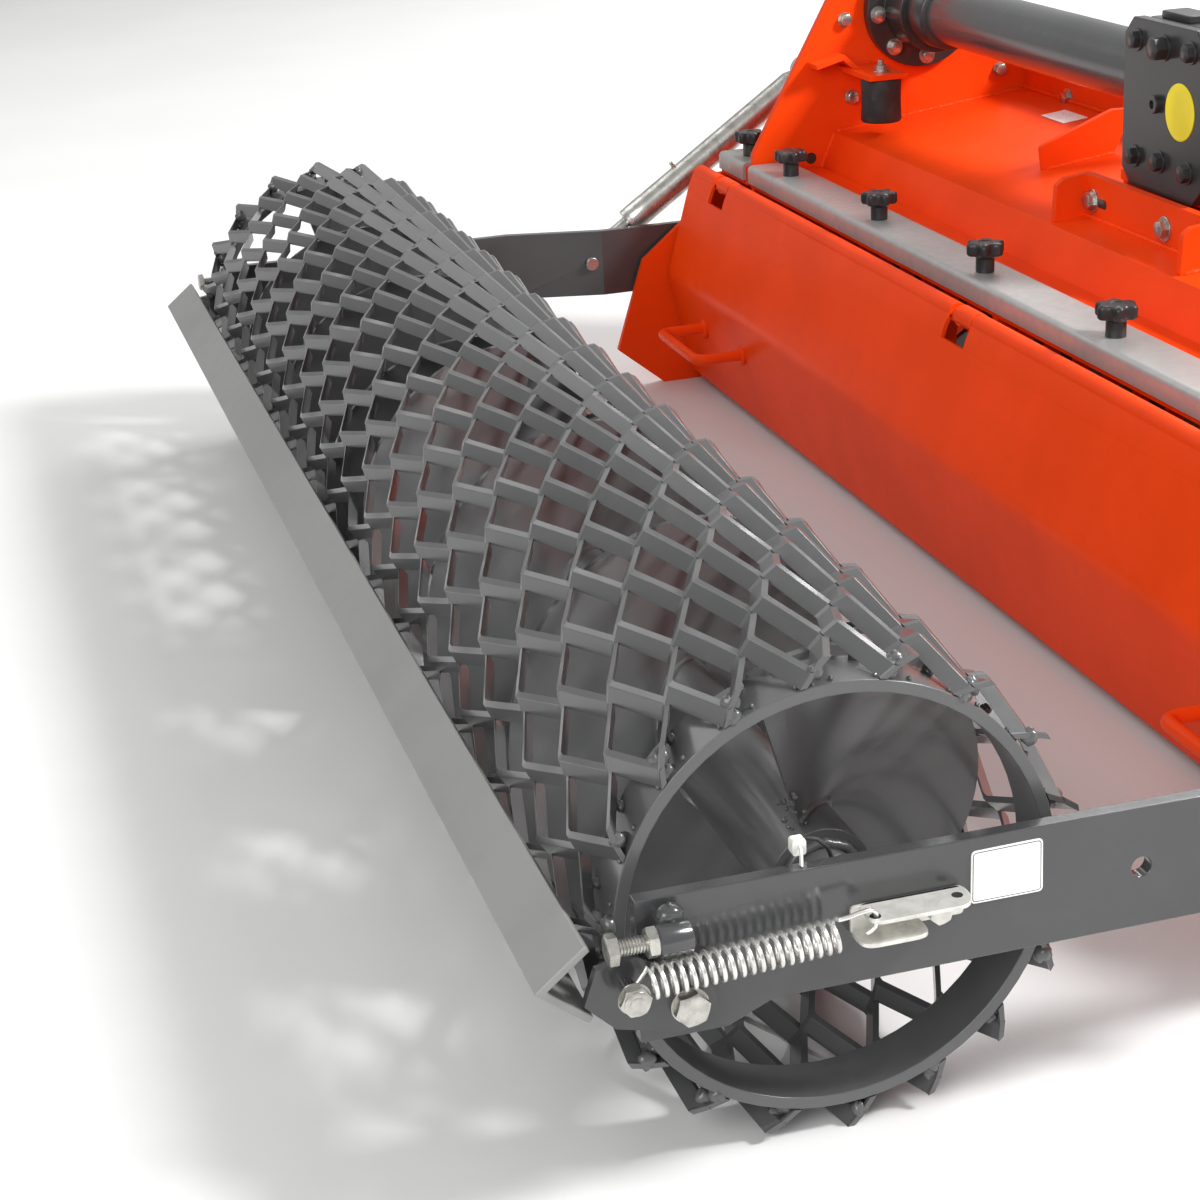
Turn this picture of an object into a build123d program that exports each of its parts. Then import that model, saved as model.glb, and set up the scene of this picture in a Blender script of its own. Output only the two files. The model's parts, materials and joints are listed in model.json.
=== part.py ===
from build123d import *
import math
import os

os.makedirs("parts", exist_ok=True)

# Stone burier: a rotary tiller on three-point linkage with an expanded-metal
# cage roller behind it. Millimetres, +X to the machine's right, +Y in the
# direction of travel, +Z up, Z = 0 on the ground it stands on.
# Distances called "fwd" are measured forward from the roller's axis.

# Overall placing
SCRAPER_REACH = 197.0
DECK_FRONT = 845.0
BEAM_DEPTH = 70.0
LINK_REACH = 96.0
LINK_EAR_R = 32.0
HALF_LENGTH = (SCRAPER_REACH + DECK_FRONT + BEAM_DEPTH + LINK_REACH + LINK_EAR_R) / 2
ROLLER_Y = SCRAPER_REACH - HALF_LENGTH


def fwd(distance):
    """Y of a point that lies this far forward of the roller's axis."""
    return ROLLER_Y + distance


# Clearances
SEAT_GAP = 0.3
RUN_FIT = 0.05
MOVE_GAP = 6.0

# Roller
RING_R = 140.5
RING_T = 8.0
RING_W = 40.0
ROLLER_LENGTH = 1650.0
MESH_HEIGHT = 17.0
TOOTH_R = RING_R + MESH_HEIGHT
ROLLER_Z = TOOTH_R
CELLS_ALONG = 16
CELLS_ROUND = 18
STRAND_T = 4.5
STRAND_LEAN = 45.0
KNUCKLE_GAP = 0.5
CORE_R = 33.0
CORE_LENGTH = 1590.0
CORE_WALL = 8.0
CORE_PLUG = 20.0
FLIGHT_PITCH = 250.0
FLIGHT_T = 6.0
FLIGHT_TURN = 106.0
FLIGHT_STEP = 15.0
HUB_R = 22.0
STUB_R = 15.0

# Roller arms
ARM_T = 10.0
ARM_HEIGHT = 80.0
ARM_CLEAR = 17.0
ARM_INNER_X = ROLLER_LENGTH / 2 + ARM_CLEAR
ARM_REAR = 134.0
ARM_JOGGLE_REAR = 223.0
ARM_JOGGLE_FRONT = 335.0
ARM_PIVOT_FWD = 622.0
ARM_NOSE_R = ARM_HEIGHT / 2
ARM_LINK_FWD = 322.0
ARM_SPARE_HOLE_FWD = 183.0
ARM_SPARE_HOLE_R = 6.5
ARM_PIN_R = 10.0
LINK_PIN_R = 8.0
BEARING_R = 34.0
BEARING_FLANGE_T = 12.0

# Hood
WALL_T = 8.0
ROLLER_OVERHANG = 22.0
BODY_HALF = ROLLER_LENGTH / 2 - ROLLER_OVERHANG
DRIVE_BAY = 113.0
DRIVE_WALL_X = DRIVE_BAY - BODY_HALF
DRIVE_WALL_T = 10.0
DRIVE_LOW_FWD = 560.0
DRIVE_LOW_Z = 20.0
DRIVE_TOP_Z = 535.0
DRIVE_TOP_REAR = 640.0
DRIVE_TOP_FRONT = 750.0
FRONT_LOW_FWD = 820.0
DECK_T = 5.0
LEDGE_REAR = 489.0
LEDGE_FRONT = 577.0
LEDGE_Z = 262.0
FOLD_FWD = 598.0
FOLD_Z = 312.0
DECK_FRONT_Z = 342.0
SIDE_REAR = 346.0
APRON_FWD = 858.0
APRON_LOW_Z = 110.0
BEAM_HEIGHT = 64.0
BEAM_WALL = 6.0
EAR_FWD = 622.0
EAR_Z = 362.0
EAR_R = 32.0

# Rear door
HINGE_FWD = 460.0
HINGE_Z = 261.0
HINGE_ROD_R = 5.0
CURL_R = 9.5
DOOR_T = 4.0
BEND_FWD = 415.0
BEND_Z = 141.0
DOOR_LOW_FWD = 487.0
DOOR_LOW_Z = 12.0
LUG_T = 10.0
LUG_INSET = 131.0
LUG_TOP_Z = 250.0
HANDLE_R = 6.0

# Rotor and its drive
ROTOR_FWD = 706.0
ROTOR_Z = 156.0
TIP_R = 134.0
JOURNAL_R = 20.0
BEARING_CAP_R = 38.0
BEARING_CAP_T = 14.0
ROTOR_TUBE_R = 38.0
ROTOR_TUBE_WALL = 10.0
ROTOR_LEFT = DRIVE_WALL_X + 14.0
ROTOR_RIGHT = BODY_HALF - WALL_T - 19.0
FLANGE_COUNT = 8
FLANGE_R = 62.0
FLANGE_T = 8.0
BLADES_PER_FLANGE = 4
TUBE_FWD = 706.0
TUBE_Z = 452.0
TUBE_R = 34.0
GEARBOX_HALF = 75.0
COVER_REAR = 651.0
COVER_HEIGHT = 158.0
COVER_Z = 436.0
INPUT_R = 17.5
INPUT_LENGTH = 75.0
INPUT_JOURNAL_R = 20.0
SNOUT_R = 38.0
SNOUT_REACH = 113.0

# Hitch
LINK_SPREAD = 683.0
LINK_PIN_DIAMETER = 22.0
LINK_PIN_Z = 330.0
LINK_PIN_LENGTH = 50.0
LINK_PLATE_T = 12.0
LINK_PIN_SHANK_R = 14.0
LINK_EAR_GAP = 60.0
MAST_HEIGHT = 460.0
TOP_PIN_R = 9.7
TOP_GAP = 54.0
TOP_EAR_T = 12.0
TOP_EAR_R = 26.0


def save(shape, name):
    """Write one sub-part in its place."""
    export_step(shape, "parts/" + name + ".step")


def group(shapes):
    """One node made of several solids."""
    flat = []
    for shape in shapes:
        flat.extend(shape.solids())
    return Compound(children=flat)


def plate_x(points, x0, x1):
    """Plate between two X planes, from its outline of (fwd, z) points."""
    ring = [(x0, fwd(y), z) for y, z in points]
    face = make_face(Polyline(*ring, close=True))
    return extrude(face, amount=x1 - x0, dir=(1, 0, 0))


def rod_x(radius, y, z, x0, x1):
    """Round bar along X; y is an absolute place."""
    bar = Cylinder(radius, x1 - x0, align=(Align.CENTER, Align.CENTER, Align.MIN))
    return Pos(x0, y, z) * Rot(0, 90, 0) * bar


def rod_y(radius, x, z, y0, y1):
    """Round bar along Y."""
    bar = Cylinder(radius, y1 - y0, align=(Align.CENTER, Align.CENTER, Align.MIN))
    return Pos(x, y0, z) * Rot(-90, 0, 0) * bar


def rod_between(radius, a, b):
    """Round bar from point a to point b."""
    axis = Vector(*b) - Vector(*a)
    return Solid.extrude(Face(Wire.make_circle(radius, Plane(origin=a, z_dir=axis))), axis)


def block(x0, x1, y0, y1, z0, z1):
    """Box from its six limits."""
    return Pos((x0 + x1) / 2, (y0 + y1) / 2, (z0 + z1) / 2) * Box(x1 - x0, y1 - y0, z1 - z0)


def folded(points, thickness):
    """Outline of a folded sheet: the points and their mitred offset to the right."""
    sides = []
    for a, b in zip(points, points[1:]):
        length = math.hypot(b[0] - a[0], b[1] - a[1])
        sides.append(((b[1] - a[1]) / length, -(b[0] - a[0]) / length))
    inner = []
    for i, point in enumerate(points):
        before = sides[max(i - 1, 0)]
        after = sides[min(i, len(sides) - 1)]
        bend = 1 + before[0] * after[0] + before[1] * after[1]
        shift = ((before[0] + after[0]) / bend, (before[1] + after[1]) / bend)
        inner.append((point[0] + shift[0] * thickness, point[1] + shift[1] * thickness))
    return points + inner[::-1]


def sheet_x(points, thickness, x0, x1):
    """Folded sheet along X from its outer (fwd, z) line."""
    return plate_x(folded(points, thickness), x0, x1)


def both_sides(shape):
    """A piece and its mirror image on the other side of the machine."""
    return [shape, mirror(shape, about=Plane.YZ)]


def mirrored(shape):
    """The left-hand twin of a right-hand piece."""
    return mirror(shape, about=Plane.YZ)


# Roller: end rings, tube, hubs and stub shafts
half = ROLLER_LENGTH / 2
ring = rod_x(RING_R, ROLLER_Y, ROLLER_Z, half - RING_W, half)
ring = ring - rod_x(RING_R - RING_T, ROLLER_Y, ROLLER_Z, half - RING_W - 1, half + 1)
save(group(both_sides(ring)), "roller_rings")

core = rod_x(CORE_R, ROLLER_Y, ROLLER_Z, -CORE_LENGTH / 2, CORE_LENGTH / 2)
core = core - rod_x(CORE_R - CORE_WALL, ROLLER_Y, ROLLER_Z, CORE_PLUG - CORE_LENGTH / 2,
                    CORE_LENGTH / 2 - CORE_PLUG)
for end in both_sides(rod_x(HUB_R, ROLLER_Y, ROLLER_Z, CORE_LENGTH / 2 - 5, half - 6)):
    core = core + end
for end in both_sides(rod_x(STUB_R, ROLLER_Y, ROLLER_Z, half - 10, ARM_INNER_X - 2)):
    core = core + end
save(core, "roller_core")

# Helical flight between tube and jacket, one on each half, of opposite hands
flight_x0 = half - RING_W - SEAT_GAP
flight_in = (CORE_R + SEAT_GAP) / math.cos(math.radians(FLIGHT_STEP / 2))
flight_out = RING_R - SEAT_GAP
flight_steps = int((flight_x0 - FLIGHT_T) / FLIGHT_PITCH * 360 / FLIGHT_STEP)


def flight_section(i):
    """Corners of the flight's section at one step: inner and outer, near and far side."""
    turn = math.radians(FLIGHT_TURN - i * FLIGHT_STEP)
    x = flight_x0 - i * FLIGHT_STEP / 360 * FLIGHT_PITCH
    corners = []
    for r, shift in ((flight_in, 0), (flight_out, 0), (flight_out, FLIGHT_T), (flight_in, FLIGHT_T)):
        corners.append((x - shift, ROLLER_Y + r * math.cos(turn), ROLLER_Z + r * math.sin(turn)))
    return corners


sections = [flight_section(i) for i in range(flight_steps + 1)]
flight_faces = [Face(Wire.make_polygon(sections[0])), Face(Wire.make_polygon(sections[-1]))]
for a, b in zip(sections, sections[1:]):
    for k in range(4):
        m = (k + 1) % 4
        if k % 2:
            flight_faces.append(Face(Wire.make_polygon([a[k], a[m], b[m], b[k]])))
        else:
            flight_faces.append(Face(Wire.make_polygon([a[k], a[m], b[m]])))
            flight_faces.append(Face(Wire.make_polygon([a[k], b[m], b[k]])))
save(group(both_sides(Solid(Shell(flight_faces)))), "roller_flight")

# Expanded-metal jacket: one zigzag strand per half row of openings
half_pitch = math.pi * (RING_R + TOOTH_R) / (4 * CELLS_ROUND)
rise = MESH_HEIGHT / 4
lean = math.tan(math.radians(90 - STRAND_LEAN))
swing = half_pitch - rise * lean
step_x = ROLLER_LENGTH / (2 * CELLS_ALONG)
strand_r = (RING_R + TOOTH_R) / 2 + SEAT_GAP


def strand_solid(phase):
    """One leaning zigzag strand along the roller, at the top of the jacket."""
    w = rise - KNUCKLE_GAP / 2
    t = STRAND_T / math.sin(math.radians(STRAND_LEAN)) / 2
    corner = ((-w * lean - t, -w), (-w * lean + t, -w), (w * lean + t, w), (w * lean - t, w))
    stations = []
    for i in range(2 * CELLS_ALONG + 1):
        side = 1 if (i + phase) % 2 else -1
        x = -half + i * step_x
        stations.append([(x, ROLLER_Y + side * swing + v, ROLLER_Z + strand_r - side * rise + h)
                         for v, h in corner])
    faces = [Face(Wire.make_polygon(stations[0])), Face(Wire.make_polygon(stations[-1]))]
    for a, b in zip(stations, stations[1:]):
        for k in range(4):
            m = (k + 1) % 4
            faces.append(Face(Wire.make_polygon([a[k], a[m], b[m], b[k]])))
    return Solid(Shell(faces))


roller_axis = Axis((0, ROLLER_Y, ROLLER_Z), (1, 0, 0))
plain_strands = (strand_solid(0), strand_solid(1))
jacket = []
for i in range(2 * CELLS_ROUND):
    jacket.append(plain_strands[i % 2].rotate(roller_axis, -i * 180 / CELLS_ROUND))
save(group(jacket), "roller_mesh")

# Roller arms: flat bars joggled inwards to the side walls
arm_front_x = BODY_HALF + MOVE_GAP
arm_line = [(ARM_INNER_X, -ARM_REAR), (ARM_INNER_X, ARM_JOGGLE_REAR),
            (arm_front_x, ARM_JOGGLE_FRONT), (arm_front_x, ARM_PIVOT_FWD + ARM_NOSE_R)]
arm_low = ROLLER_Z - ARM_HEIGHT / 2
arm_plan = make_face(Polyline(*[(x, fwd(y), arm_low) for x, y in folded(arm_line, ARM_T)],
                              close=True))
arm = extrude(arm_plan, amount=ARM_HEIGHT, dir=(0, 0, 1))
heel = plate_x([(-ARM_REAR, ARM_HEIGHT + 40), (-ARM_REAR, arm_low - 12), (-80, arm_low - 12),
                (-50, arm_low + 1), (-50, ARM_HEIGHT + 60)], ARM_INNER_X, ARM_INNER_X + ARM_T)
arm = arm + heel
SCRAPER_PIVOT_FWD = -106.0
SCRAPER_PIVOT_Z = 129.0
SCRAPER_PIN_R = 5.0
arm_outer_x = ARM_INNER_X + ARM_T
cut_x0 = min(ARM_INNER_X, arm_front_x) - 1
cut_x1 = max(ARM_INNER_X, arm_front_x) + ARM_T + 1
for y, z, r in ((ARM_SPARE_HOLE_FWD, ROLLER_Z, ARM_SPARE_HOLE_R),
                (ARM_LINK_FWD, ROLLER_Z, LINK_PIN_R),
                (SCRAPER_PIVOT_FWD, SCRAPER_PIVOT_Z, SCRAPER_PIN_R)):
    arm = arm - rod_x(r, fwd(y), z, cut_x0, cut_x1)
arm = arm - rod_x(ARM_PIN_R + RUN_FIT, fwd(ARM_PIVOT_FWD), ROLLER_Z, cut_x0, cut_x1)
corner_cut = block(cut_x0, cut_x1, fwd(ARM_PIVOT_FWD), fwd(ARM_PIVOT_FWD + ARM_NOSE_R) + 1,
                   arm_low - 1, arm_low + ARM_HEIGHT + 1)
corner_cut = corner_cut - rod_x(ARM_NOSE_R, fwd(ARM_PIVOT_FWD), ROLLER_Z, cut_x0 - 1, cut_x1 + 1)
arm = arm - corner_cut
save(arm, "arm_right")
save(mirrored(arm), "arm_left")

# Flange bearings on the arms' inner faces
bearing = rod_x(BEARING_R, ROLLER_Y, ROLLER_Z, ARM_INNER_X - BEARING_FLANGE_T, ARM_INNER_X)
bearing = bearing - rod_x(STUB_R + RUN_FIT, ROLLER_Y, ROLLER_Z,
                          ARM_INNER_X - BEARING_FLANGE_T - 1, ARM_INNER_X + 1)
save(group(both_sides(bearing)), "roller_bearings")

# Link pins on the arms and pivot pins on the hood
link_outer_x = arm_front_x + ARM_T
link_pin = rod_x(LINK_PIN_R, fwd(ARM_LINK_FWD), ROLLER_Z, arm_front_x, link_outer_x + 44)
save(group(both_sides(link_pin)), "arm_link_pins")
pivot_pin = rod_x(ARM_PIN_R, fwd(ARM_PIVOT_FWD), ROLLER_Z, BODY_HALF - WALL_T, link_outer_x + 5)
pivot_pin = pivot_pin + rod_x(ARM_PIN_R + 6, fwd(ARM_PIVOT_FWD), ROLLER_Z, link_outer_x + SEAT_GAP,
                              link_outer_x + 8)
pivot_pin = pivot_pin + rod_x(ARM_PIN_R + 6, fwd(ARM_PIVOT_FWD), ROLLER_Z, BODY_HALF,
                              arm_front_x - SEAT_GAP)

# Side walls
HEEL_Z = 48.0
WALL_NOTCH = (383.0, 159.0)
WALL_CORNER = (441.0, 205.0)
SKID_REAR = 404.0
SKID_FRONT = 800.0
TOE_Z = 60.0
wall = [(SIDE_REAR, HEEL_Z), (SKID_REAR, 0), (SKID_FRONT, 0), (APRON_FWD, TOE_Z),
        (APRON_FWD, DECK_FRONT_Z - 8), (EAR_FWD + 68, FOLD_Z), (EAR_FWD + EAR_R, EAR_Z),
        (EAR_FWD + 20, EAR_Z + 28), (EAR_FWD - 20, EAR_Z + 28), (EAR_FWD - EAR_R, EAR_Z),
        (LEDGE_FRONT + 3, LEDGE_Z), (HINGE_FWD + 16, LEDGE_Z - 6), WALL_CORNER, WALL_NOTCH]


def side_wall(x0, x1, hole_r):
    """One outer wall with its bores for the arm pivot, strut pin and hinge rod."""
    sheet = plate_x(wall, x0, x1)
    for y, z, r in ((ARM_PIVOT_FWD, ROLLER_Z, ARM_PIN_R), (EAR_FWD, EAR_Z, LINK_PIN_R)):
        sheet = sheet - rod_x(r, fwd(y), z, x0 - 1, x1 + 1)
    if hole_r:
        sheet = sheet - rod_x(hole_r, fwd(ROTOR_FWD), ROTOR_Z, x0 - 1, x1 + 1)
    return sheet


save(side_wall(BODY_HALF - WALL_T, BODY_HALF, JOURNAL_R + 6), "side_wall_right")
save(side_wall(-BODY_HALF, -BODY_HALF + WALL_T, 0), "side_wall_left")

# Drive wall: the tall plate that carries the side drive
drive_rear = LEDGE_REAR + 5
drive_wall = plate_x([(DRIVE_LOW_FWD - 40, DRIVE_LOW_Z + 10), (DRIVE_LOW_FWD, DRIVE_LOW_Z),
                      (FRONT_LOW_FWD, DRIVE_LOW_Z), (APRON_FWD - 6, TOE_Z),
                      (DECK_FRONT, DECK_FRONT_Z - 42), (DECK_FRONT, DECK_FRONT_Z + 70),
                      (DECK_FRONT - 45, DRIVE_TOP_Z - 55), (DRIVE_TOP_FRONT, DRIVE_TOP_Z),
                      (DRIVE_TOP_REAR, DRIVE_TOP_Z), (DRIVE_TOP_REAR - 48, DRIVE_TOP_Z - 68),
                      (drive_rear, LEDGE_Z + 33), (drive_rear, LUG_TOP_Z),
                      (LEDGE_REAR - 8, LUG_TOP_Z), (HINGE_FWD + 6, HINGE_Z + 8),
                      (HINGE_FWD - 8, HINGE_Z + 7), (HINGE_FWD - 8, HINGE_Z - 8),
                      (HINGE_FWD + 4, HINGE_Z - 14), (HINGE_FWD + 40, HINGE_Z - 35)],
                     DRIVE_WALL_X - DRIVE_WALL_T, DRIVE_WALL_X)
drive_wall = drive_wall - rod_x(HINGE_ROD_R, fwd(HINGE_FWD), HINGE_Z,
                                DRIVE_WALL_X - DRIVE_WALL_T - 1, DRIVE_WALL_X + 1)
drive_wall = drive_wall - rod_x(JOURNAL_R + 8, fwd(ROTOR_FWD), ROTOR_Z, DRIVE_WALL_X - DRIVE_WALL_T - 1,
                                DRIVE_WALL_X + 1)
drive_wall = drive_wall - rod_x(TUBE_R - 6, fwd(TUBE_FWD), TUBE_Z, DRIVE_WALL_X - DRIVE_WALL_T - 1,
                                DRIVE_WALL_X + 1)
BUMPER_INSET = 72.0
BUMPER_X = DRIVE_WALL_X + BUMPER_INSET
BUMPER_FWD = 628.0
BUMPER_R = 24.0
BUMPER_LOW_Z = 334.0
BUMPER_HEIGHT = 50.0
GUSSET_T = 6.0
tab_low = BUMPER_LOW_Z + BUMPER_HEIGHT + SEAT_GAP
tab = block(DRIVE_WALL_X - 1, BUMPER_X + BUMPER_R, fwd(BUMPER_FWD) - BUMPER_R,
            fwd(BUMPER_FWD) + BUMPER_R, tab_low, tab_low + GUSSET_T)
gusset = sheet_x([(564, 398), (600, 407), (631, 380)], GUSSET_T, DRIVE_WALL_X - 1, DRIVE_WALL_X + 30)
save(drive_wall + tab + gusset, "drive_wall")

# Hood deck: ledge, rear face and top in one folded sheet
deck_right = BODY_HALF - WALL_T
deck = sheet_x([(LEDGE_REAR, LEDGE_Z), (LEDGE_FRONT, LEDGE_Z), (FOLD_FWD, FOLD_Z),
                (DECK_FRONT, DECK_FRONT_Z)], DECK_T, DRIVE_WALL_X, deck_right)
drive_ledge = sheet_x([(LEDGE_REAR, LEDGE_Z), (LEDGE_FRONT, LEDGE_Z)], DECK_T,
                      -deck_right, DRIVE_WALL_X - DRIVE_WALL_T)
save(group([deck, drive_ledge]), "hood_deck")

# Front beam, a square tube across the machine, and the apron below it
beam_rear = fwd(DECK_FRONT)
beam = block(-deck_right, deck_right, beam_rear, beam_rear + BEAM_DEPTH,
             DECK_FRONT_Z, DECK_FRONT_Z + BEAM_HEIGHT)
beam = beam - block(BEAM_WALL - deck_right, deck_right - BEAM_WALL, beam_rear + BEAM_WALL,
                    beam_rear + BEAM_DEPTH - BEAM_WALL, DECK_FRONT_Z + BEAM_WALL,
                    DECK_FRONT_Z + BEAM_HEIGHT - BEAM_WALL)
save(beam, "front_beam")
apron = sheet_x([(DECK_FRONT + 0.5, DECK_FRONT_Z - 7), (APRON_FWD + 2, DECK_FRONT_Z - 70),
                 (APRON_FWD + 12, APRON_LOW_Z)], -DECK_T, DRIVE_WALL_X, deck_right)
save(apron, "front_apron")

# Rear door: curl segments round the rod, upper and lower panel
hinge_y = fwd(HINGE_FWD)
door_half = BODY_HALF - WALL_T - MOVE_GAP
panel_line = [(HINGE_FWD - CURL_R + 0.5, HINGE_Z - 3), (BEND_FWD, BEND_Z),
              (DOOR_LOW_FWD, DOOR_LOW_Z)]
door = sheet_x(panel_line, -DOOR_T, -door_half, door_half)
door = door + rod_x(CURL_R, hinge_y, HINGE_Z, -door_half, door_half)
lug_right = BODY_HALF - LUG_INSET
wall_centre = DRIVE_WALL_X - DRIVE_WALL_T / 2
lug_xs = ((lug_right + wall_centre) / 2, lug_right)
for x in lug_xs + (wall_centre,):
    door = door - block(x - LUG_T / 2 - MOVE_GAP, x + LUG_T / 2 + MOVE_GAP, hinge_y - 24,
                        hinge_y + 24, HINGE_Z - 22, HINGE_Z + 22)
door = door - rod_x(HINGE_ROD_R + RUN_FIT, hinge_y, HINGE_Z, -door_half - 1, door_half + 1)
save(door, "rear_door")

lugs = []
for x in lug_xs:
    lug = plate_x([(HINGE_FWD - 8, HINGE_Z - 8), (HINGE_FWD + 4, HINGE_Z - 14),
                   (LEDGE_REAR + 20, LEDGE_Z - DECK_T - 26), (LEDGE_REAR + 20, LEDGE_Z - DECK_T),
                   (LEDGE_REAR + 1, LEDGE_Z - DECK_T), (LEDGE_REAR + 1, LUG_TOP_Z),
                   (LEDGE_REAR - 8, LUG_TOP_Z), (HINGE_FWD + 6, HINGE_Z + 8),
                   (HINGE_FWD - 8, HINGE_Z + 7)], x - LUG_T / 2, x + LUG_T / 2)
    lugs.append(lug)
rod = rod_x(HINGE_ROD_R, hinge_y, HINGE_Z, -deck_right, deck_right)
save(rod + lugs[0] + lugs[1], "hinge_rod")

# Door handles: round bar bent to a U, standing straight back from the lower panel
HANDLE_INSET = 218.0
HANDLE_GRIP = 150.0
HANDLE_TIP_FWD = 348.0
HANDLE_Z = 116.0
handle_y = fwd(HANDLE_TIP_FWD)
panel_share = (BEND_Z - HANDLE_Z) / (BEND_Z - DOOR_LOW_Z)
root_y = fwd(BEND_FWD + (DOOR_LOW_FWD - BEND_FWD) * panel_share + DOOR_T)
handles = []
for x in (HANDLE_INSET - BODY_HALF, BODY_HALF - HANDLE_INSET):
    foot = HANDLE_GRIP / 2
    path = [(x - foot, root_y, HANDLE_Z), (x - foot, handle_y, HANDLE_Z),
            (x + foot, handle_y, HANDLE_Z), (x + foot, root_y, HANDLE_Z)]
    bar = rod_between(HANDLE_R, path[0], path[1]) + rod_between(HANDLE_R, path[1], path[2])
    bar = bar + rod_between(HANDLE_R, path[2], path[3])
    bar = bar + Pos(*path[1]) * Sphere(HANDLE_R) + Pos(*path[2]) * Sphere(HANDLE_R)
    handles.append(bar)
handle_cut = sheet_x(panel_line, -DOOR_T - 30, -door_half, door_half)
save(group([bar - handle_cut for bar in handles]), "door_handles")

# Clamp strips with a folded lip along the ledge's rear edge
STRIP_T = 4.0
STRIP_FRONT = 532.0
STRIP_LIP = 14.0
strip_rear = LEDGE_REAR - SEAT_GAP - STRIP_T
strip_top = LEDGE_Z + SEAT_GAP + STRIP_T
strip_line = [(strip_rear, strip_top - STRIP_LIP), (strip_rear, strip_top), (STRIP_FRONT, strip_top)]
long_strip = sheet_x(strip_line, STRIP_T, DRIVE_WALL_X + 4, deck_right - 4)
short_strip = sheet_x(strip_line, STRIP_T, -deck_right + 4, DRIVE_WALL_X - DRIVE_WALL_T - 4)
save(group([long_strip, short_strip]), "clamp_strips")

# Star knobs that hold the strips
KNOB_R = 20.0
KNOB_HEIGHT = 14.0
KNOB_NECK_R = 9.0
KNOB_NECK = 16.0
KNOB_LOBES = 6
KNOB_FWD = 510.0
KNOB_INSET = 74.0
KNOB_COUNT = 6
knob_z = strip_top + SEAT_GAP
knob_line = []
for i in range(4 * KNOB_LOBES):
    lobe_at = math.radians(i * 90 / KNOB_LOBES)
    lobe_r = KNOB_R if i % 4 < 2 else KNOB_R - 5
    knob_line.append((lobe_r * math.cos(lobe_at), lobe_r * math.sin(lobe_at), KNOB_NECK))
knob = extrude(make_face(Polyline(*knob_line, close=True)), amount=KNOB_HEIGHT, dir=(0, 0, 1))
knob = knob + Cylinder(KNOB_NECK_R, KNOB_NECK + 1, align=(Align.CENTER, Align.CENTER, Align.MIN))
knob_last = BODY_HALF - KNOB_INSET
knob_pitch = (knob_last - DRIVE_WALL_X - 94) / (KNOB_COUNT - 1)
knob_xs = [DRIVE_WALL_X - 55] + [knob_last - i * knob_pitch for i in range(KNOB_COUNT)]
save(group([Pos(x, fwd(KNOB_FWD), knob_z) * knob for x in knob_xs]), "star_knobs")

# Stone comb: flat tines hanging from a bar below the ledge, behind the rotor
COMB_FWD = 552.0
TINE_PITCH = 58.0
TINE_W = 8.0
TINE_DEPTH = 14.0
TINE_LOW = 34.0
bar_top = LEDGE_Z - DECK_T
comb = block(DRIVE_WALL_X + 4, deck_right - 4, fwd(COMB_FWD - TINE_DEPTH), fwd(COMB_FWD),
             bar_top - 30, bar_top)
tine_count = int((deck_right - DRIVE_WALL_X - 60) / TINE_PITCH) + 1
tine_first = (deck_right + DRIVE_WALL_X) / 2 - (tine_count - 1) * TINE_PITCH / 2
for i in range(tine_count):
    x = tine_first + i * TINE_PITCH
    comb = comb + plate_x([(COMB_FWD - TINE_DEPTH, bar_top - 30), (COMB_FWD, bar_top - 30),
                           (COMB_FWD - 6, TINE_LOW + 50), (COMB_FWD, TINE_LOW),
                           (COMB_FWD - TINE_DEPTH, TINE_LOW + 46)], x, x + TINE_W)
save(comb, "stone_comb")

# Rotor: tube, flanges and hoe blades
rotor_y = fwd(ROTOR_FWD)
rotor = rod_x(ROTOR_TUBE_R, rotor_y, ROTOR_Z, ROTOR_LEFT, ROTOR_RIGHT)
rotor = rotor - rod_x(ROTOR_TUBE_R - ROTOR_TUBE_WALL, rotor_y, ROTOR_Z, ROTOR_LEFT + 20,
                      ROTOR_RIGHT - 20)
flange_pitch = (ROTOR_RIGHT - ROTOR_LEFT - 2 * 60) / (FLANGE_COUNT - 1)
flange_xs = [ROTOR_LEFT + 60 + i * flange_pitch for i in range(FLANGE_COUNT)]
for x in flange_xs:
    collar = rod_x(FLANGE_R, rotor_y, ROTOR_Z, x - FLANGE_T / 2, x + FLANGE_T / 2)
    rotor = rotor + (collar - rod_x(ROTOR_TUBE_R - 2, rotor_y, ROTOR_Z, x - FLANGE_T, x + FLANGE_T))
case_x1 = DRIVE_WALL_X - DRIVE_WALL_T
rotor = rotor + rod_x(JOURNAL_R, rotor_y, ROTOR_Z, ROTOR_RIGHT - 1, BODY_HALF + BEARING_CAP_T - 3)
rotor = rotor + rod_x(JOURNAL_R, rotor_y, ROTOR_Z, case_x1 - 18, ROTOR_LEFT + 1)
save(rotor, "rotor_shaft")

BLADE_T = 8.0
BLADE_W = 26.0
FOOT = 58.0


def blade(direction):
    """L-shaped hoe pointing up from the rotor's axis, its foot to one side."""
    shank = block(0, BLADE_T, -BLADE_W / 2, BLADE_W / 2, 48, TIP_R - 4)
    foot = block(0, FOOT, -BLADE_W / 2, BLADE_W / 2 - 4, TIP_R - 12, TIP_R - 4)
    hoe = shank + foot
    if direction < 0:
        hoe = mirror(hoe, about=Plane.YZ)
    return hoe


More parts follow.
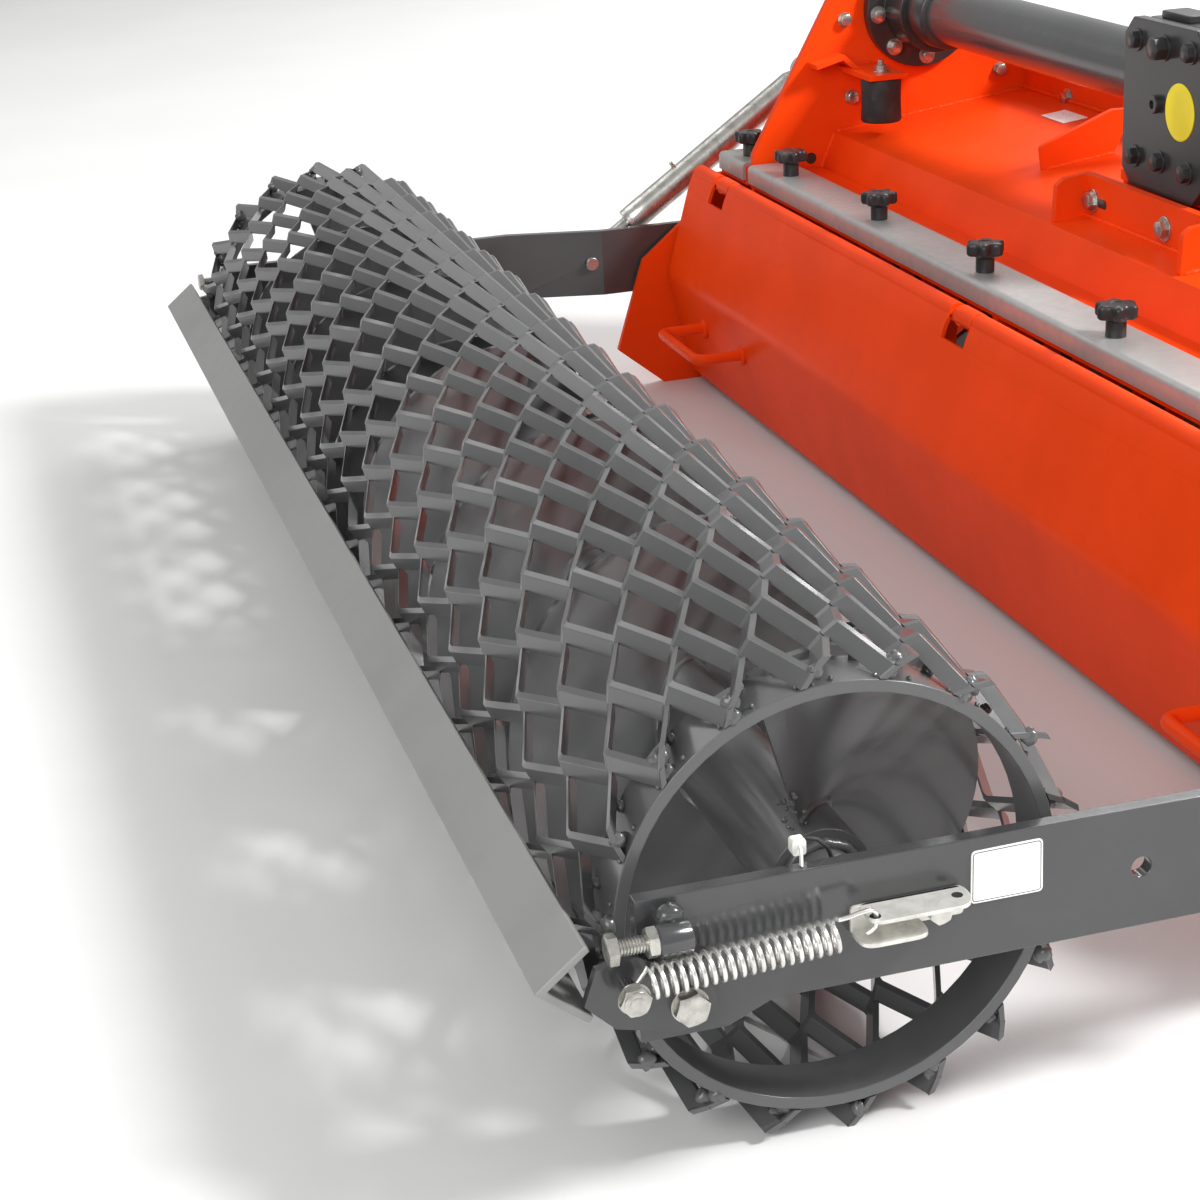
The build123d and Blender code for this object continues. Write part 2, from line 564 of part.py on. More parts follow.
hoes = {1: blade(1), -1: blade(-1)}
blades = []
for row, x in enumerate(flange_xs):
    for k in range(BLADES_PER_FLANGE):
        side = 1 if k % 2 else -1
        if row == 0:
            side = 1
        if row == FLANGE_COUNT - 1:
            side = -1
        turn = k * 360 / BLADES_PER_FLANGE + row * 35
        offset = side * (FLANGE_T / 2 + SEAT_GAP)
        blades.append(Pos(x + offset, rotor_y, ROTOR_Z) * Rot(turn, 0, 0) * hoes[side])
save(group(blades), "rotor_blades")

right_bearing = rod_x(BEARING_CAP_R, rotor_y, ROTOR_Z, BODY_HALF, BODY_HALF + BEARING_CAP_T)
right_bearing = right_bearing - rod_x(JOURNAL_R + RUN_FIT, rotor_y, ROTOR_Z, BODY_HALF - 1,
                                      BODY_HALF + BEARING_CAP_T - 2)
save(right_bearing, "rotor_bearing")

# Side drive case between the drive wall and the left wall
CASE_LOW_R = 84.0
CASE_HIGH_R = 62.0
case_x0 = -deck_right + 8
case = rod_x(CASE_LOW_R, rotor_y, ROTOR_Z, case_x0, case_x1)
case = case + rod_x(CASE_HIGH_R, fwd(TUBE_FWD), TUBE_Z, case_x0, case_x1)
case = case + plate_x([(ROTOR_FWD - CASE_LOW_R, ROTOR_Z), (ROTOR_FWD + CASE_LOW_R, ROTOR_Z),
                       (TUBE_FWD + CASE_HIGH_R, TUBE_Z), (TUBE_FWD - CASE_HIGH_R, TUBE_Z)],
                      case_x0, case_x1)
case = case - rod_x(JOURNAL_R + RUN_FIT, rotor_y, ROTOR_Z, case_x1 - 20, case_x1 + 1)
save(case, "side_drive_case")

# Drive tube and flange
DRIVE_FLANGE_R = 70.0
DRIVE_FLANGE_T = 14.0
SLEEVE_LENGTH = 60.0
tube_left = DRIVE_WALL_X + SLEEVE_LENGTH
flange = rod_x(DRIVE_FLANGE_R, fwd(TUBE_FWD), TUBE_Z, DRIVE_WALL_X, DRIVE_WALL_X + DRIVE_FLANGE_T)
flange = flange + rod_x(TUBE_R + 14, fwd(TUBE_FWD), TUBE_Z, DRIVE_WALL_X + DRIVE_FLANGE_T - 1,
                        tube_left)
save(flange, "drive_flange")
tube = rod_x(TUBE_R, fwd(TUBE_FWD), TUBE_Z, tube_left, -GEARBOX_HALF)
tube = tube - rod_x(TUBE_R - 5, fwd(TUBE_FWD), TUBE_Z, tube_left - 1, -GEARBOX_HALF + 1)
save(tube, "drive_tube")

# Gearbox with chamfered rear cover
GEAR_REACH = 84.0
gear_front = TUBE_FWD + GEAR_REACH
gear_low = COVER_Z - COVER_HEIGHT / 2
gear_high = COVER_Z + COVER_HEIGHT / 2
gearbox = block(-GEARBOX_HALF + 4, GEARBOX_HALF - 4, fwd(COVER_REAR + 12), fwd(gear_front),
                gear_low + 6, gear_high - 6)
gearbox = gearbox + rod_x(TUBE_R + 6, fwd(TUBE_FWD), TUBE_Z, -GEARBOX_HALF, GEARBOX_HALF + 12)
snout_y = fwd(gear_front) + SNOUT_REACH
gearbox = gearbox + rod_y(SNOUT_R, 0, TUBE_Z, fwd(gear_front) - 1, snout_y)
gearbox = gearbox - rod_y(INPUT_JOURNAL_R + RUN_FIT, 0, TUBE_Z, fwd(gear_front) - 30, snout_y + 1)
save(gearbox, "gearbox")
CHAMFER = 16.0
cover_line = []
for sx, sz in ((-1, -1), (1, -1), (1, 1), (-1, 1)):
    a = (sx * GEARBOX_HALF, COVER_Z + sz * (COVER_HEIGHT / 2 - CHAMFER))
    b = (sx * (GEARBOX_HALF - CHAMFER), COVER_Z + sz * COVER_HEIGHT / 2)
    cover_line.extend([a, b] if sx * sz < 0 else [b, a])
cover = make_face(Polyline(*[(x, fwd(COVER_REAR), z) for x, z in sorted(
    cover_line, key=lambda p: math.atan2(p[1] - COVER_Z, p[0]))], close=True))
save(extrude(cover, amount=12, dir=(0, 1, 0)), "gearbox_cover")

# Gearbox seat: channel across the deck and two cheek plates
CHANNEL_HALF = 128.0
CHANNEL_T = 8.0
CHEEK_X = 102.0
CHEEK_REAR = 584.0
CHEEK_REAR_Z = 390.0
CHEEK_PEAK = 672.0
CHEEK_PEAK_Z = 420.0
CHEEK_FRONT_RISE = 50.0


def deck_z(distance):
    """Height of the deck's top at a distance forward of the roller."""
    share = (distance - FOLD_FWD) / (DECK_FRONT - FOLD_FWD)
    return FOLD_Z + share * (DECK_FRONT_Z - FOLD_Z)


channel = []
for sx in (-1, 1):
    x0 = sx * CHANNEL_HALF - (CHANNEL_T if sx > 0 else 0)
    channel.append(plate_x([(FOLD_FWD + 8, deck_z(FOLD_FWD + 8)), (646, deck_z(646)),
                            (646, deck_z(646) + 40), (FOLD_FWD + 8, deck_z(FOLD_FWD + 8) + 40)],
                           x0, x0 + CHANNEL_T))
web = plate_x([(646 - CHANNEL_T, deck_z(646 - CHANNEL_T)), (646, deck_z(646)),
               (646, deck_z(646) + 40), (646 - CHANNEL_T, deck_z(646) + 40)],
              -CHANNEL_HALF, CHANNEL_HALF)
seat = web + channel[0] + channel[1]
cheek = plate_x([(FOLD_FWD + 2, deck_z(FOLD_FWD + 2)), (DECK_FRONT, DECK_FRONT_Z),
                 (DECK_FRONT, DECK_FRONT_Z + CHEEK_FRONT_RISE), (CHEEK_PEAK, CHEEK_PEAK_Z),
                 (CHEEK_REAR, CHEEK_REAR_Z), (CHEEK_REAR, CHEEK_REAR_Z - 18)],
                CHEEK_X, CHEEK_X + CHANNEL_T)
shelf = block(-CHEEK_X, CHEEK_X, fwd(COVER_REAR + 14), fwd(DECK_FRONT) - 30,
              gear_low - 4, gear_low + 6 - SEAT_GAP)
save(seat + shelf + both_sides(cheek)[0] + both_sides(cheek)[1], "gearbox_cradle")

# Input shaft
shaft = rod_y(INPUT_JOURNAL_R, 0, TUBE_Z, fwd(gear_front) - 29, snout_y + MOVE_GAP)
shaft = shaft + rod_y(INPUT_R, 0, TUBE_Z, snout_y + MOVE_GAP, snout_y + MOVE_GAP + INPUT_LENGTH)
save(shaft, "input_shaft")

# Bumper under its tab beside the flange
bumper = Pos(BUMPER_X, fwd(BUMPER_FWD), BUMPER_LOW_Z) * Cylinder(
    BUMPER_R, BUMPER_HEIGHT, align=(Align.CENTER, Align.CENTER, Align.MIN))
save(bumper, "rubber_bumper")

# Depth struts: screw tube from the wall's ear, rod with its eye on the arm's pin
strut_x = link_outer_x + 24
STRUT_R = 17.0
STRUT_ROD_R = 9.0
EYE_R = 15.0
EYE_W = 26.0
EYE_DRIFT = 1.0
top = Vector(strut_x, fwd(EAR_FWD), EAR_Z)
foot_at = Vector(strut_x, fwd(ARM_LINK_FWD), ROLLER_Z)
along = (foot_at - top).normalized()
reach = (foot_at - top).length
tube_from = top + along * 24
tube_to = top + along * (reach - 70)
strut_tube = rod_between(STRUT_R, tuple(tube_from), tuple(tube_to))
strut_tube = strut_tube + rod_x(EYE_R + 3, top.Y, top.Z, strut_x - EYE_W / 2, strut_x + EYE_W / 2)
strut_tube = strut_tube + rod_between(12, tuple(top + along * 10), tuple(top + along * 30))
strut_tube = strut_tube - rod_x(LINK_PIN_R + RUN_FIT, top.Y, top.Z, strut_x - 40, strut_x + 40)
strut_tube = strut_tube - rod_between(STRUT_ROD_R + RUN_FIT, tuple(top + along * 60),
                                      tuple(top + along * reach))
strut_rod = rod_between(STRUT_ROD_R, tuple(top + along * 90), tuple(top + along * (reach - 8)))
strut_rod = strut_rod + rod_x(EYE_R, foot_at.Y, foot_at.Z, strut_x - EYE_W / 2,
                              strut_x + EYE_W / 2)
strut_rod = strut_rod - rod_x(LINK_PIN_R + EYE_DRIFT, foot_at.Y, foot_at.Z, strut_x - 40,
                              strut_x + 40)
save(strut_tube, "strut_tube_right")
save(mirrored(strut_tube), "strut_tube_left")
save(strut_rod, "strut_rod_right")
save(mirrored(strut_rod), "strut_rod_left")
ear_pin = rod_x(LINK_PIN_R, top.Y, top.Z, BODY_HALF - WALL_T, strut_x + EYE_W / 2 + 4)
save(group(both_sides(pivot_pin) + both_sides(ear_pin)), "hood_pins")

# Scraper: angle bar, hung on side lugs that pivot on the arms
ANGLE_T = 5.0
bar_end = ARM_INNER_X + ARM_T + 8
angle_line = [(-166, 180), (-SCRAPER_REACH, 155), (-166, 130)]
angle = sheet_x(angle_line, -ANGLE_T, -bar_end, bar_end)
save(angle, "scraper_bar")
lug_x0 = arm_outer_x + SEAT_GAP
LUG_PLATE_T = 6.0
LUG_R = 17.0
HOOK_FWD = -142.8
HOOK_Z = 149.0
STOP_Z = 178.0
HANGER_REAR = -5.0
HANGER_FRONT = 66.0
HANGER_LOW = 151.0
HANGER_HIGH = 169.0
HANGER_T = 2.5
lug = plate_x([(-160, 162), (-136, 166), (-95, 142), (-98, 114), (-112, 112), (-150, 122),
               (-168, 140)], lug_x0, lug_x0 + LUG_PLATE_T)
lug = lug + rod_x(LUG_R, fwd(SCRAPER_PIVOT_FWD), SCRAPER_PIVOT_Z, lug_x0, lug_x0 + LUG_PLATE_T)
lug = lug - rod_x(SCRAPER_PIN_R + RUN_FIT, fwd(SCRAPER_PIVOT_FWD), SCRAPER_PIVOT_Z, lug_x0 - 1,
                  lug_x0 + LUG_PLATE_T + 1)
lug = lug + rod_x(5, fwd(HOOK_FWD), HOOK_Z, lug_x0 + LUG_PLATE_T - 1, lug_x0 + LUG_PLATE_T + 22)
save(group([side - angle for side in both_sides(lug)]), "scraper_lugs")
pivot_bolt = rod_x(SCRAPER_PIN_R, fwd(SCRAPER_PIVOT_FWD), SCRAPER_PIVOT_Z, ARM_INNER_X,
                   lug_x0 + LUG_PLATE_T + 1)
pivot_bolt = pivot_bolt + rod_x(9, fwd(SCRAPER_PIVOT_FWD), SCRAPER_PIVOT_Z,
                                lug_x0 + LUG_PLATE_T + SEAT_GAP, lug_x0 + LUG_PLATE_T + 7)
save(group(both_sides(pivot_bolt)), "scraper_pivot_bolts")

# Stop bolts in barrels on the arms, and the spring brackets
STOP_HEAD_REAR = -156.0
STOP_HEAD_FRONT = -150.0
BARREL_REAR = -123.0
BARREL_FRONT = -103.0
stop_x = arm_outer_x + 14
stop = rod_y(10, stop_x, STOP_Z, fwd(BARREL_REAR), fwd(BARREL_FRONT))
stop = stop + rod_y(5, stop_x, STOP_Z, fwd(STOP_HEAD_FRONT - 2), fwd(BARREL_REAR + 10))
stop = stop + rod_y(8, stop_x, STOP_Z, fwd(STOP_HEAD_REAR), fwd(STOP_HEAD_FRONT))
stop = stop + block(arm_outer_x, stop_x - 4, fwd(BARREL_REAR), fwd(BARREL_FRONT), STOP_Z - 7,
                    STOP_Z + 7)
save(group(both_sides(stop)), "stop_bolts")
spring_x = arm_outer_x + 20
hanger = block(arm_outer_x, arm_outer_x + HANGER_T, fwd(HANGER_REAR), fwd(HANGER_FRONT),
               HANGER_LOW, HANGER_HIGH)
hanger = hanger + block(arm_outer_x, spring_x + 4, fwd(0), fwd(HANGER_FRONT),
                        HANGER_HIGH - HANGER_T, HANGER_HIGH)
hanger = hanger + block(arm_outer_x, spring_x + 2, fwd(HANGER_REAR), fwd(38), HANGER_LOW,
                        HANGER_LOW + HANGER_T)
save(group(both_sides(hanger)), "spring_hangers")
spring_rear = (spring_x, fwd(HOOK_FWD + 5.8), HOOK_Z + 1)
spring_front = (spring_x, fwd(3), HANGER_HIGH - HANGER_T - SEAT_GAP - 1.6)
coil_rear = (spring_x, fwd(-130), 156)
coil_front = (spring_x, fwd(-18), 162)
spring = rod_between(10, coil_rear, coil_front)
spring = spring - rod_between(7, (spring_x, fwd(-128), 156.1), (spring_x, fwd(-20), 161.9))
spring = spring + rod_between(1.6, spring_rear, coil_rear) + rod_between(1.6, coil_front, spring_front)
save(group(both_sides(spring)), "scraper_springs")

# Hitch: lower link brackets and pins, and the mast with its top-link clevis
link_y = HALF_LENGTH - LINK_EAR_R
beam_front = beam_rear + BEAM_DEPTH
beam_top_z = DECK_FRONT_Z + BEAM_HEIGHT
shoulder = LINK_SPREAD / 2
link_fwd = link_y - ROLLER_Y
front_fwd = beam_front - ROLLER_Y
plates = []
for x in (shoulder - 2 * LINK_PLATE_T - LINK_EAR_GAP, shoulder - LINK_PLATE_T):
    plate = plate_x([(front_fwd, DECK_FRONT_Z), (front_fwd, beam_top_z),
                     (front_fwd + 20, beam_top_z), (link_fwd + 10, LINK_PIN_Z + 20),
                     (link_fwd, LINK_PIN_Z)], x, x + LINK_PLATE_T)
    plate = plate + rod_x(LINK_EAR_R, link_y, LINK_PIN_Z, x, x + LINK_PLATE_T)
    plate = plate - rod_x(LINK_PIN_SHANK_R, link_y, LINK_PIN_Z, x - 1, x + LINK_PLATE_T + 1)
    plates.append(plate)
save(group(plates + [mirrored(plate) for plate in plates]), "lower_link_brackets")
pins = rod_x(LINK_PIN_SHANK_R, link_y, LINK_PIN_Z, shoulder - 2 * LINK_PLATE_T - LINK_EAR_GAP - 5,
             shoulder)
pins = pins + rod_x(LINK_PIN_DIAMETER / 2, link_y, LINK_PIN_Z, shoulder, shoulder + LINK_PIN_LENGTH)
save(group(both_sides(pins)), "lower_link_pins")

# Mast: two flat legs leaning together on the beam, with the top-link ears
MAST_FOOT_X = 150.0
MAST_FOOT_W = 55.0
top_z = LINK_PIN_Z + MAST_HEIGHT
top_y = beam_front + 30
ear_x0 = TOP_GAP / 2
leg = make_face(Polyline((MAST_FOOT_X, beam_front, DECK_FRONT_Z + 6),
                         (MAST_FOOT_X + MAST_FOOT_W, beam_front, DECK_FRONT_Z + 6),
                         (MAST_FOOT_X + MAST_FOOT_W, beam_front, beam_top_z),
                         (ear_x0 + 36, beam_front, top_z + 10), (ear_x0, beam_front, top_z + 10),
                         (ear_x0, beam_front, top_z - 40), (MAST_FOOT_X, beam_front, beam_top_z),
                         close=True))
leg = extrude(leg, amount=TOP_EAR_T, dir=(0, 1, 0))
ear = plate_x([(front_fwd, top_z - 50), (front_fwd + 30, top_z - TOP_EAR_R),
               (front_fwd + 30, top_z + TOP_EAR_R), (front_fwd, top_z + 10)],
              ear_x0, ear_x0 + TOP_EAR_T)
ear = ear + rod_x(TOP_EAR_R, top_y, top_z, ear_x0, ear_x0 + TOP_EAR_T)
leg = leg + ear - rod_x(TOP_PIN_R, top_y, top_z, ear_x0 - 1, ear_x0 + TOP_EAR_T + 1)
save(group(both_sides(leg)), "top_link_mast")
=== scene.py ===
"""Stone burier: finishes, mesh jacket, spring gear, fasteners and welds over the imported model.

Everything is in metres in the model's own frame: +X to the machine's right, +Y in the direction
of travel, +Z up. Distances called forward are measured from the roller's axis, in millimetres.
"""
import json
import logging
import math
from dataclasses import dataclass
from enum import Enum
from typing import Any, Optional, Sequence

import bmesh
import bpy
import numpy as np
from mathutils import Matrix

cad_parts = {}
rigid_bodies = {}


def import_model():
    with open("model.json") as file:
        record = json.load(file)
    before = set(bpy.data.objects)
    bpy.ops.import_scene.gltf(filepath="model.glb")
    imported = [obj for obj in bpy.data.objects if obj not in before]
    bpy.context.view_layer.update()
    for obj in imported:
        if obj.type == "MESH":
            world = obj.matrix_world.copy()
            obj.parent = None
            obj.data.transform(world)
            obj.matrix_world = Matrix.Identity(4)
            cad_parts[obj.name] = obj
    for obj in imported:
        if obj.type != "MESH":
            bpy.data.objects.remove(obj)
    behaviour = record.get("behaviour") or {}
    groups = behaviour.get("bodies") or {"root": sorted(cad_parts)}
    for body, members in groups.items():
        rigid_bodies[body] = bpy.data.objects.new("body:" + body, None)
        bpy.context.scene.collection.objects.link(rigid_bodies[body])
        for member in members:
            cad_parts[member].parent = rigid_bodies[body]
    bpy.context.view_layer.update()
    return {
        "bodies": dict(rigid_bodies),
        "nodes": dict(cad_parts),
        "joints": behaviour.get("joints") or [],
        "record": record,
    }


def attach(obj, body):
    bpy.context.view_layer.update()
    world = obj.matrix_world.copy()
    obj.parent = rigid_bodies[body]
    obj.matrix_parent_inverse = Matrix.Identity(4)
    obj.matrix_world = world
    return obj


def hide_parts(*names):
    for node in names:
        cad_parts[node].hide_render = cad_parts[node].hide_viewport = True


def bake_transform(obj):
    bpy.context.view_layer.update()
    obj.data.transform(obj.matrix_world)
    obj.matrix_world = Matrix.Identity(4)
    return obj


LOG = logging.getLogger("stone_burier")
Array = np.ndarray
TURN = 2 * math.pi
AXIS_X = np.array([1.0, 0.0, 0.0])
AXIS_Y = np.array([0.0, 1.0, 0.0])
AXIS_Z = np.array([0.0, 0.0, 1.0])
ROLLER_Y = -0.423
ROLLER_Z = 0.1575
ARM_FACE = 852.0
MM = 1000.0
WASHER_T = 0.0018
HOLE_T = 0.00012
BEAD_STEP = 0.0022
BEAD_WAVES = ((0.16, 0.0068), (0.12, 0.031), (0.1, 0.0131))
CLOUD_SCALE = 6.0
FINE_SCALE = 55.0
GRIT_SCALE = 420.0
FLAKE_SCALE = 130.0
HEX_STEPS = 36


class Body(Enum):
    """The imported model's bodies that new pieces ride on."""

    HOOD = "hood"
    DOOR = "door"
    ROLLER_FRAME = "roller_frame"
    ROLLER = "roller"
    SCRAPER = "scraper"
    STRUT_TUBE_LEFT = "strut_tube_left"
    STRUT_TUBE_RIGHT = "strut_tube_right"


def forward(millimetres: float) -> float:
    """Y in metres of a point this far forward of the roller's axis."""
    return ROLLER_Y + millimetres / MM


def point(x: float, ahead: float, height: float) -> Array:
    """A point from millimetres: across, forward of the roller's axis, and up."""
    return np.array([x / MM, forward(ahead), height / MM])


# ---------------------------------------------------------------- shader maths


class Value:
    """A node socket on which Python's arithmetic adds Math nodes."""

    def __init__(self, graph: "Graph", socket: Any) -> None:
        """Keep the graph and the output socket."""
        self.graph = graph
        self.socket = socket

    def _math(self, operation: str, first: Any, second: Any) -> "Value":
        """One Math node on two numbers or values."""
        return self.graph.node("ShaderNodeMath", {"operation": operation},
                               {0: first, 1: second})

    def __add__(self, other: Any) -> "Value":
        """Sum."""
        return self._math("ADD", self, other)

    def __radd__(self, other: Any) -> "Value":
        """Sum, number first."""
        return self._math("ADD", other, self)

    def __sub__(self, other: Any) -> "Value":
        """Difference."""
        return self._math("SUBTRACT", self, other)

    def __rsub__(self, other: Any) -> "Value":
        """Difference, number first."""
        return self._math("SUBTRACT", other, self)

    def __mul__(self, other: Any) -> "Value":
        """Product."""
        return self._math("MULTIPLY", self, other)

    def __rmul__(self, other: Any) -> "Value":
        """Product, number first."""
        return self._math("MULTIPLY", other, self)

    def ramp(self, low: float, high: float) -> "Value":
        """0 below low, 1 above high and smooth between."""
        return self.graph.node("ShaderNodeMapRange", {"interpolation_type": "SMOOTHSTEP"},
                               {"Value": self, "From Min": low, "From Max": high})


class Graph:
    """The node tree of one material."""

    def __init__(self, name: str) -> None:
        """Start an empty material with its output and one Principled shader.

        Args:
            name: The material's name.
        """
        self.material = bpy.data.materials.new(name)
        self.material.use_nodes = True
        self.tree = self.material.node_tree
        self.tree.nodes.clear()
        self.output = self.tree.nodes.new("ShaderNodeOutputMaterial")
        self.shader = self.tree.nodes.new("ShaderNodeBsdfPrincipled")
        self.tree.links.new(self.shader.outputs[0], self.output.inputs[0])

    def node(self, kind: str, settings: Optional[dict] = None, inputs: Optional[dict] = None,
             out: Any = 0) -> Value:
        """Add a node: its settings first, then its sockets.

        Args:
            kind: Blender's node type.
            settings: Properties of the node.
            inputs: Socket name or number to a number, colour or Value.
            out: Name or number of the output that is returned.

        Returns:
            The chosen output.
        """
        made = self.tree.nodes.new(kind)
        for key, value in (settings or {}).items():
            setattr(made, key, value)
        for key, value in (inputs or {}).items():
            if isinstance(value, Value):
                self.tree.links.new(value.socket, made.inputs[key])
            else:
                made.inputs[key].default_value = value
        return Value(self, made.outputs[out])

    def place(self, scale: Sequence[float] = (1, 1, 1), turn: Sequence[float] = (0, 0, 0)) -> Value:
        """Object coordinates, scaled and turned.

        Args:
            scale: Factors along X, Y and Z.
            turn: Angles in radians.

        Returns:
            The vector.
        """
        source = self.node("ShaderNodeTexCoord", out="Object")
        return self.node("ShaderNodeMapping", inputs={"Vector": source, "Rotation": tuple(turn),
                                                      "Scale": tuple(scale)})

    def noise(self, vector: Value, scale: float, detail: float = 3.0, rough: float = 0.55) -> Value:
        """Fractal noise about 0.5 on a vector, with the given scale per metre."""
        return self.node("ShaderNodeTexNoise", inputs={"Vector": vector, "Scale": scale,
                                                       "Detail": detail, "Roughness": rough})

    def blend(self, factor: Any, first: Any, second: Any) -> Value:
        """First colour where factor is 0, second where it is 1."""
        return self.node("ShaderNodeMix", {"data_type": "RGBA"}, {0: factor, 6: first, 7: second},
                         out=2)

    def upward(self) -> Value:
        """Height component of the surface's direction: 1 on a top face."""
        normal = self.node("ShaderNodeNewGeometry", out="Normal")
        return self.node("ShaderNodeSeparateXYZ", inputs={0: normal}, out=2)

    def bump(self, height: Value, strength: float, distance: float,
             below: Optional[Value] = None) -> Value:
        """Surface relief from a height value, optionally on top of another relief.

        Args:
            height: What gives the height.
            strength: Share of the relief that shows.
            distance: Height in metres of a value of 1.
            below: Relief that this one lies on.

        Returns:
            The changed surface direction.
        """
        inputs = {"Height": height, "Strength": strength, "Distance": distance}
        if below is not None:
            inputs["Normal"] = below
        return self.node("ShaderNodeBump", None, inputs)

    def drive(self, **sockets: Any) -> None:
        """Link values to, or set numbers on, the shader's sockets named with underscores."""
        for key, value in sockets.items():
            socket = self.shader.inputs[key.replace("_", " ")]
            if isinstance(value, Value):
                self.tree.links.new(value.socket, socket)
            else:
                socket.default_value = value


def rgb(red: float, green: float, blue: float) -> tuple[float, float, float, float]:
    """An opaque linear colour."""
    return (red, green, blue, 1.0)


@dataclass(frozen=True)
class Finish:
    """A named surface."""

    name: str

    def nodes(self, g: Graph) -> None:
        """Fill the material's node tree."""
        raise NotImplementedError

    def material(self) -> bpy.types.Material:
        """Build the material once.

        Returns:
            The material.
        """
        found = bpy.data.materials.get(self.name)
        if found:
            return found
        g = Graph(self.name)
        self.nodes(g)
        return g.material


@dataclass(frozen=True)
class Paint(Finish):
    """Sprayed gloss or satin paint with orange peel, faint dust, chips and drag marks."""

    colour: tuple[float, float, float]
    roughness: float = 0.3
    peel: float = 0.1
    dust: float = 0.18
    chips: float = 0.25
    coat: float = 0.35
    specular: float = 0.5
    chip_colour: tuple[float, float, float] = (0.16, 0.15, 0.14)
    dust_colour: tuple[float, float, float] = (0.34, 0.30, 0.24)

    def nodes(self, g: Graph) -> None:
        """Cloudy tone, settled dust, drag marks and chips over orange peel.

        Args:
            g: The material's node tree.
        """
        here = g.place()
        cloud = g.noise(here, CLOUD_SCALE, 4.0)
        fine = g.noise(here, FINE_SCALE, 4.0, 0.65)
        grit = g.noise(here, GRIT_SCALE, 2.0)
        base = rgb(*self.colour)
        dark = rgb(*(c * 0.93 for c in self.colour))
        light = rgb(*(min(c * 1.05 + 0.002, 1.0) for c in self.colour))
        tone = g.blend(cloud.ramp(0.35, 0.65), dark, light)
        tone = g.blend(fine.ramp(0.3, 0.7) * 0.35, tone, base)
        settled = (g.upward() * 0.5 + 0.5) * fine.ramp(0.42, 0.78) * cloud.ramp(0.3, 0.7)
        settled = settled * self.dust + grit.ramp(0.66, 0.8) * (self.dust * 0.25)
        tone = g.blend(settled, tone, rgb(*self.dust_colour))
        strokes = g.noise(g.place((3.0, 60.0, 240.0), (0.5, 0.2, 0.1)), 6.0, 2.0)
        marks = strokes.ramp(0.69, 0.76) * cloud.ramp(0.45, 0.7) * self.chips
        flakes = g.noise(here, FLAKE_SCALE, 5.0, 0.7).ramp(0.735, 0.765) * self.chips
        tone = g.blend(marks * 0.5, tone, light)
        tone = g.blend(flakes, tone, rgb(*self.chip_colour))
        rough = self.roughness + (fine - 0.5) * 0.08 + settled * 0.7 + marks * 0.3
        relief = g.bump(g.noise(here, GRIT_SCALE, 1.0), self.peel, 0.0003)
        relief = g.bump(flakes * -1.0 + marks * -0.4, 0.3, 0.0004, relief)
        g.drive(Base_Color=tone, Roughness=rough, Normal=relief, Coat_Weight=self.coat,
                Coat_Roughness=0.16, Specular_IOR_Level=self.specular, IOR=1.5)


@dataclass(frozen=True)
class Plated(Finish):
    """Zinc plating, or bare drawn steel: metal with cloudy tarnish and fine brushing."""

    colour: tuple[float, float, float] = (0.62, 0.61, 0.57)
    tint: tuple[float, float, float] = (0.40, 0.39, 0.36)
    roughness: float = 0.3
    metallic: float = 0.92
    brush: float = 0.12

    def nodes(self, g: Graph) -> None:
        """Cloudy tarnish and dark spots on fine brushing.

        Args:
            g: The material's node tree.
        """
        here = g.place()
        cloud = g.noise(here, 90.0, 4.0, 0.6)
        brushed = g.noise(g.place((30.0, 900.0, 900.0)), 2.0, 2.0)
        spots = g.noise(here, 300.0, 4.0, 0.7).ramp(0.62, 0.74)
        tone = g.blend(cloud.ramp(0.35, 0.68), rgb(*self.colour), rgb(*self.tint))
        tone = g.blend(spots * 0.35, tone, rgb(*(c * 0.45 for c in self.tint)))
        rough = self.roughness + (cloud - 0.5) * 0.3 + (brushed - 0.5) * self.brush + spots * 0.2
        relief = g.bump(brushed + cloud * 0.5, 0.12, 0.0003)
        g.drive(Base_Color=tone, Roughness=rough, Normal=relief, Metallic=self.metallic)


@dataclass(frozen=True)
class Moulded(Finish):
    """Cast iron, rubber or plastic in one colour with its grain."""

    colour: tuple[float, float, float]
    roughness: float = 0.5
    grain: float = 0.25
    grain_scale: float = 520.0
    dust: float = 0.2

    def nodes(self, g: Graph) -> None:
        """Slightly cloudy tone, dust on top faces and fine grain.

        Args:
            g: The material's node tree.
        """
        here = g.place()
        cloud = g.noise(here, 14.0, 3.0)
        fine = g.noise(here, self.grain_scale, 3.0, 0.6)
        settled = (g.upward() * 0.5 + 0.5) * g.noise(here, 70.0, 4.0).ramp(0.45, 0.8) * self.dust
        tone = g.blend(cloud.ramp(0.3, 0.7), rgb(*self.colour),
                       rgb(*(c * 1.35 + 0.003 for c in self.colour)))
        tone = g.blend(settled, tone, rgb(0.30, 0.27, 0.22))
        rough = self.roughness + (fine - 0.5) * 0.2 + settled * 0.5
        relief = g.bump(fine, self.grain, 0.0008)
        g.drive(Base_Color=tone, Roughness=rough, Normal=relief)


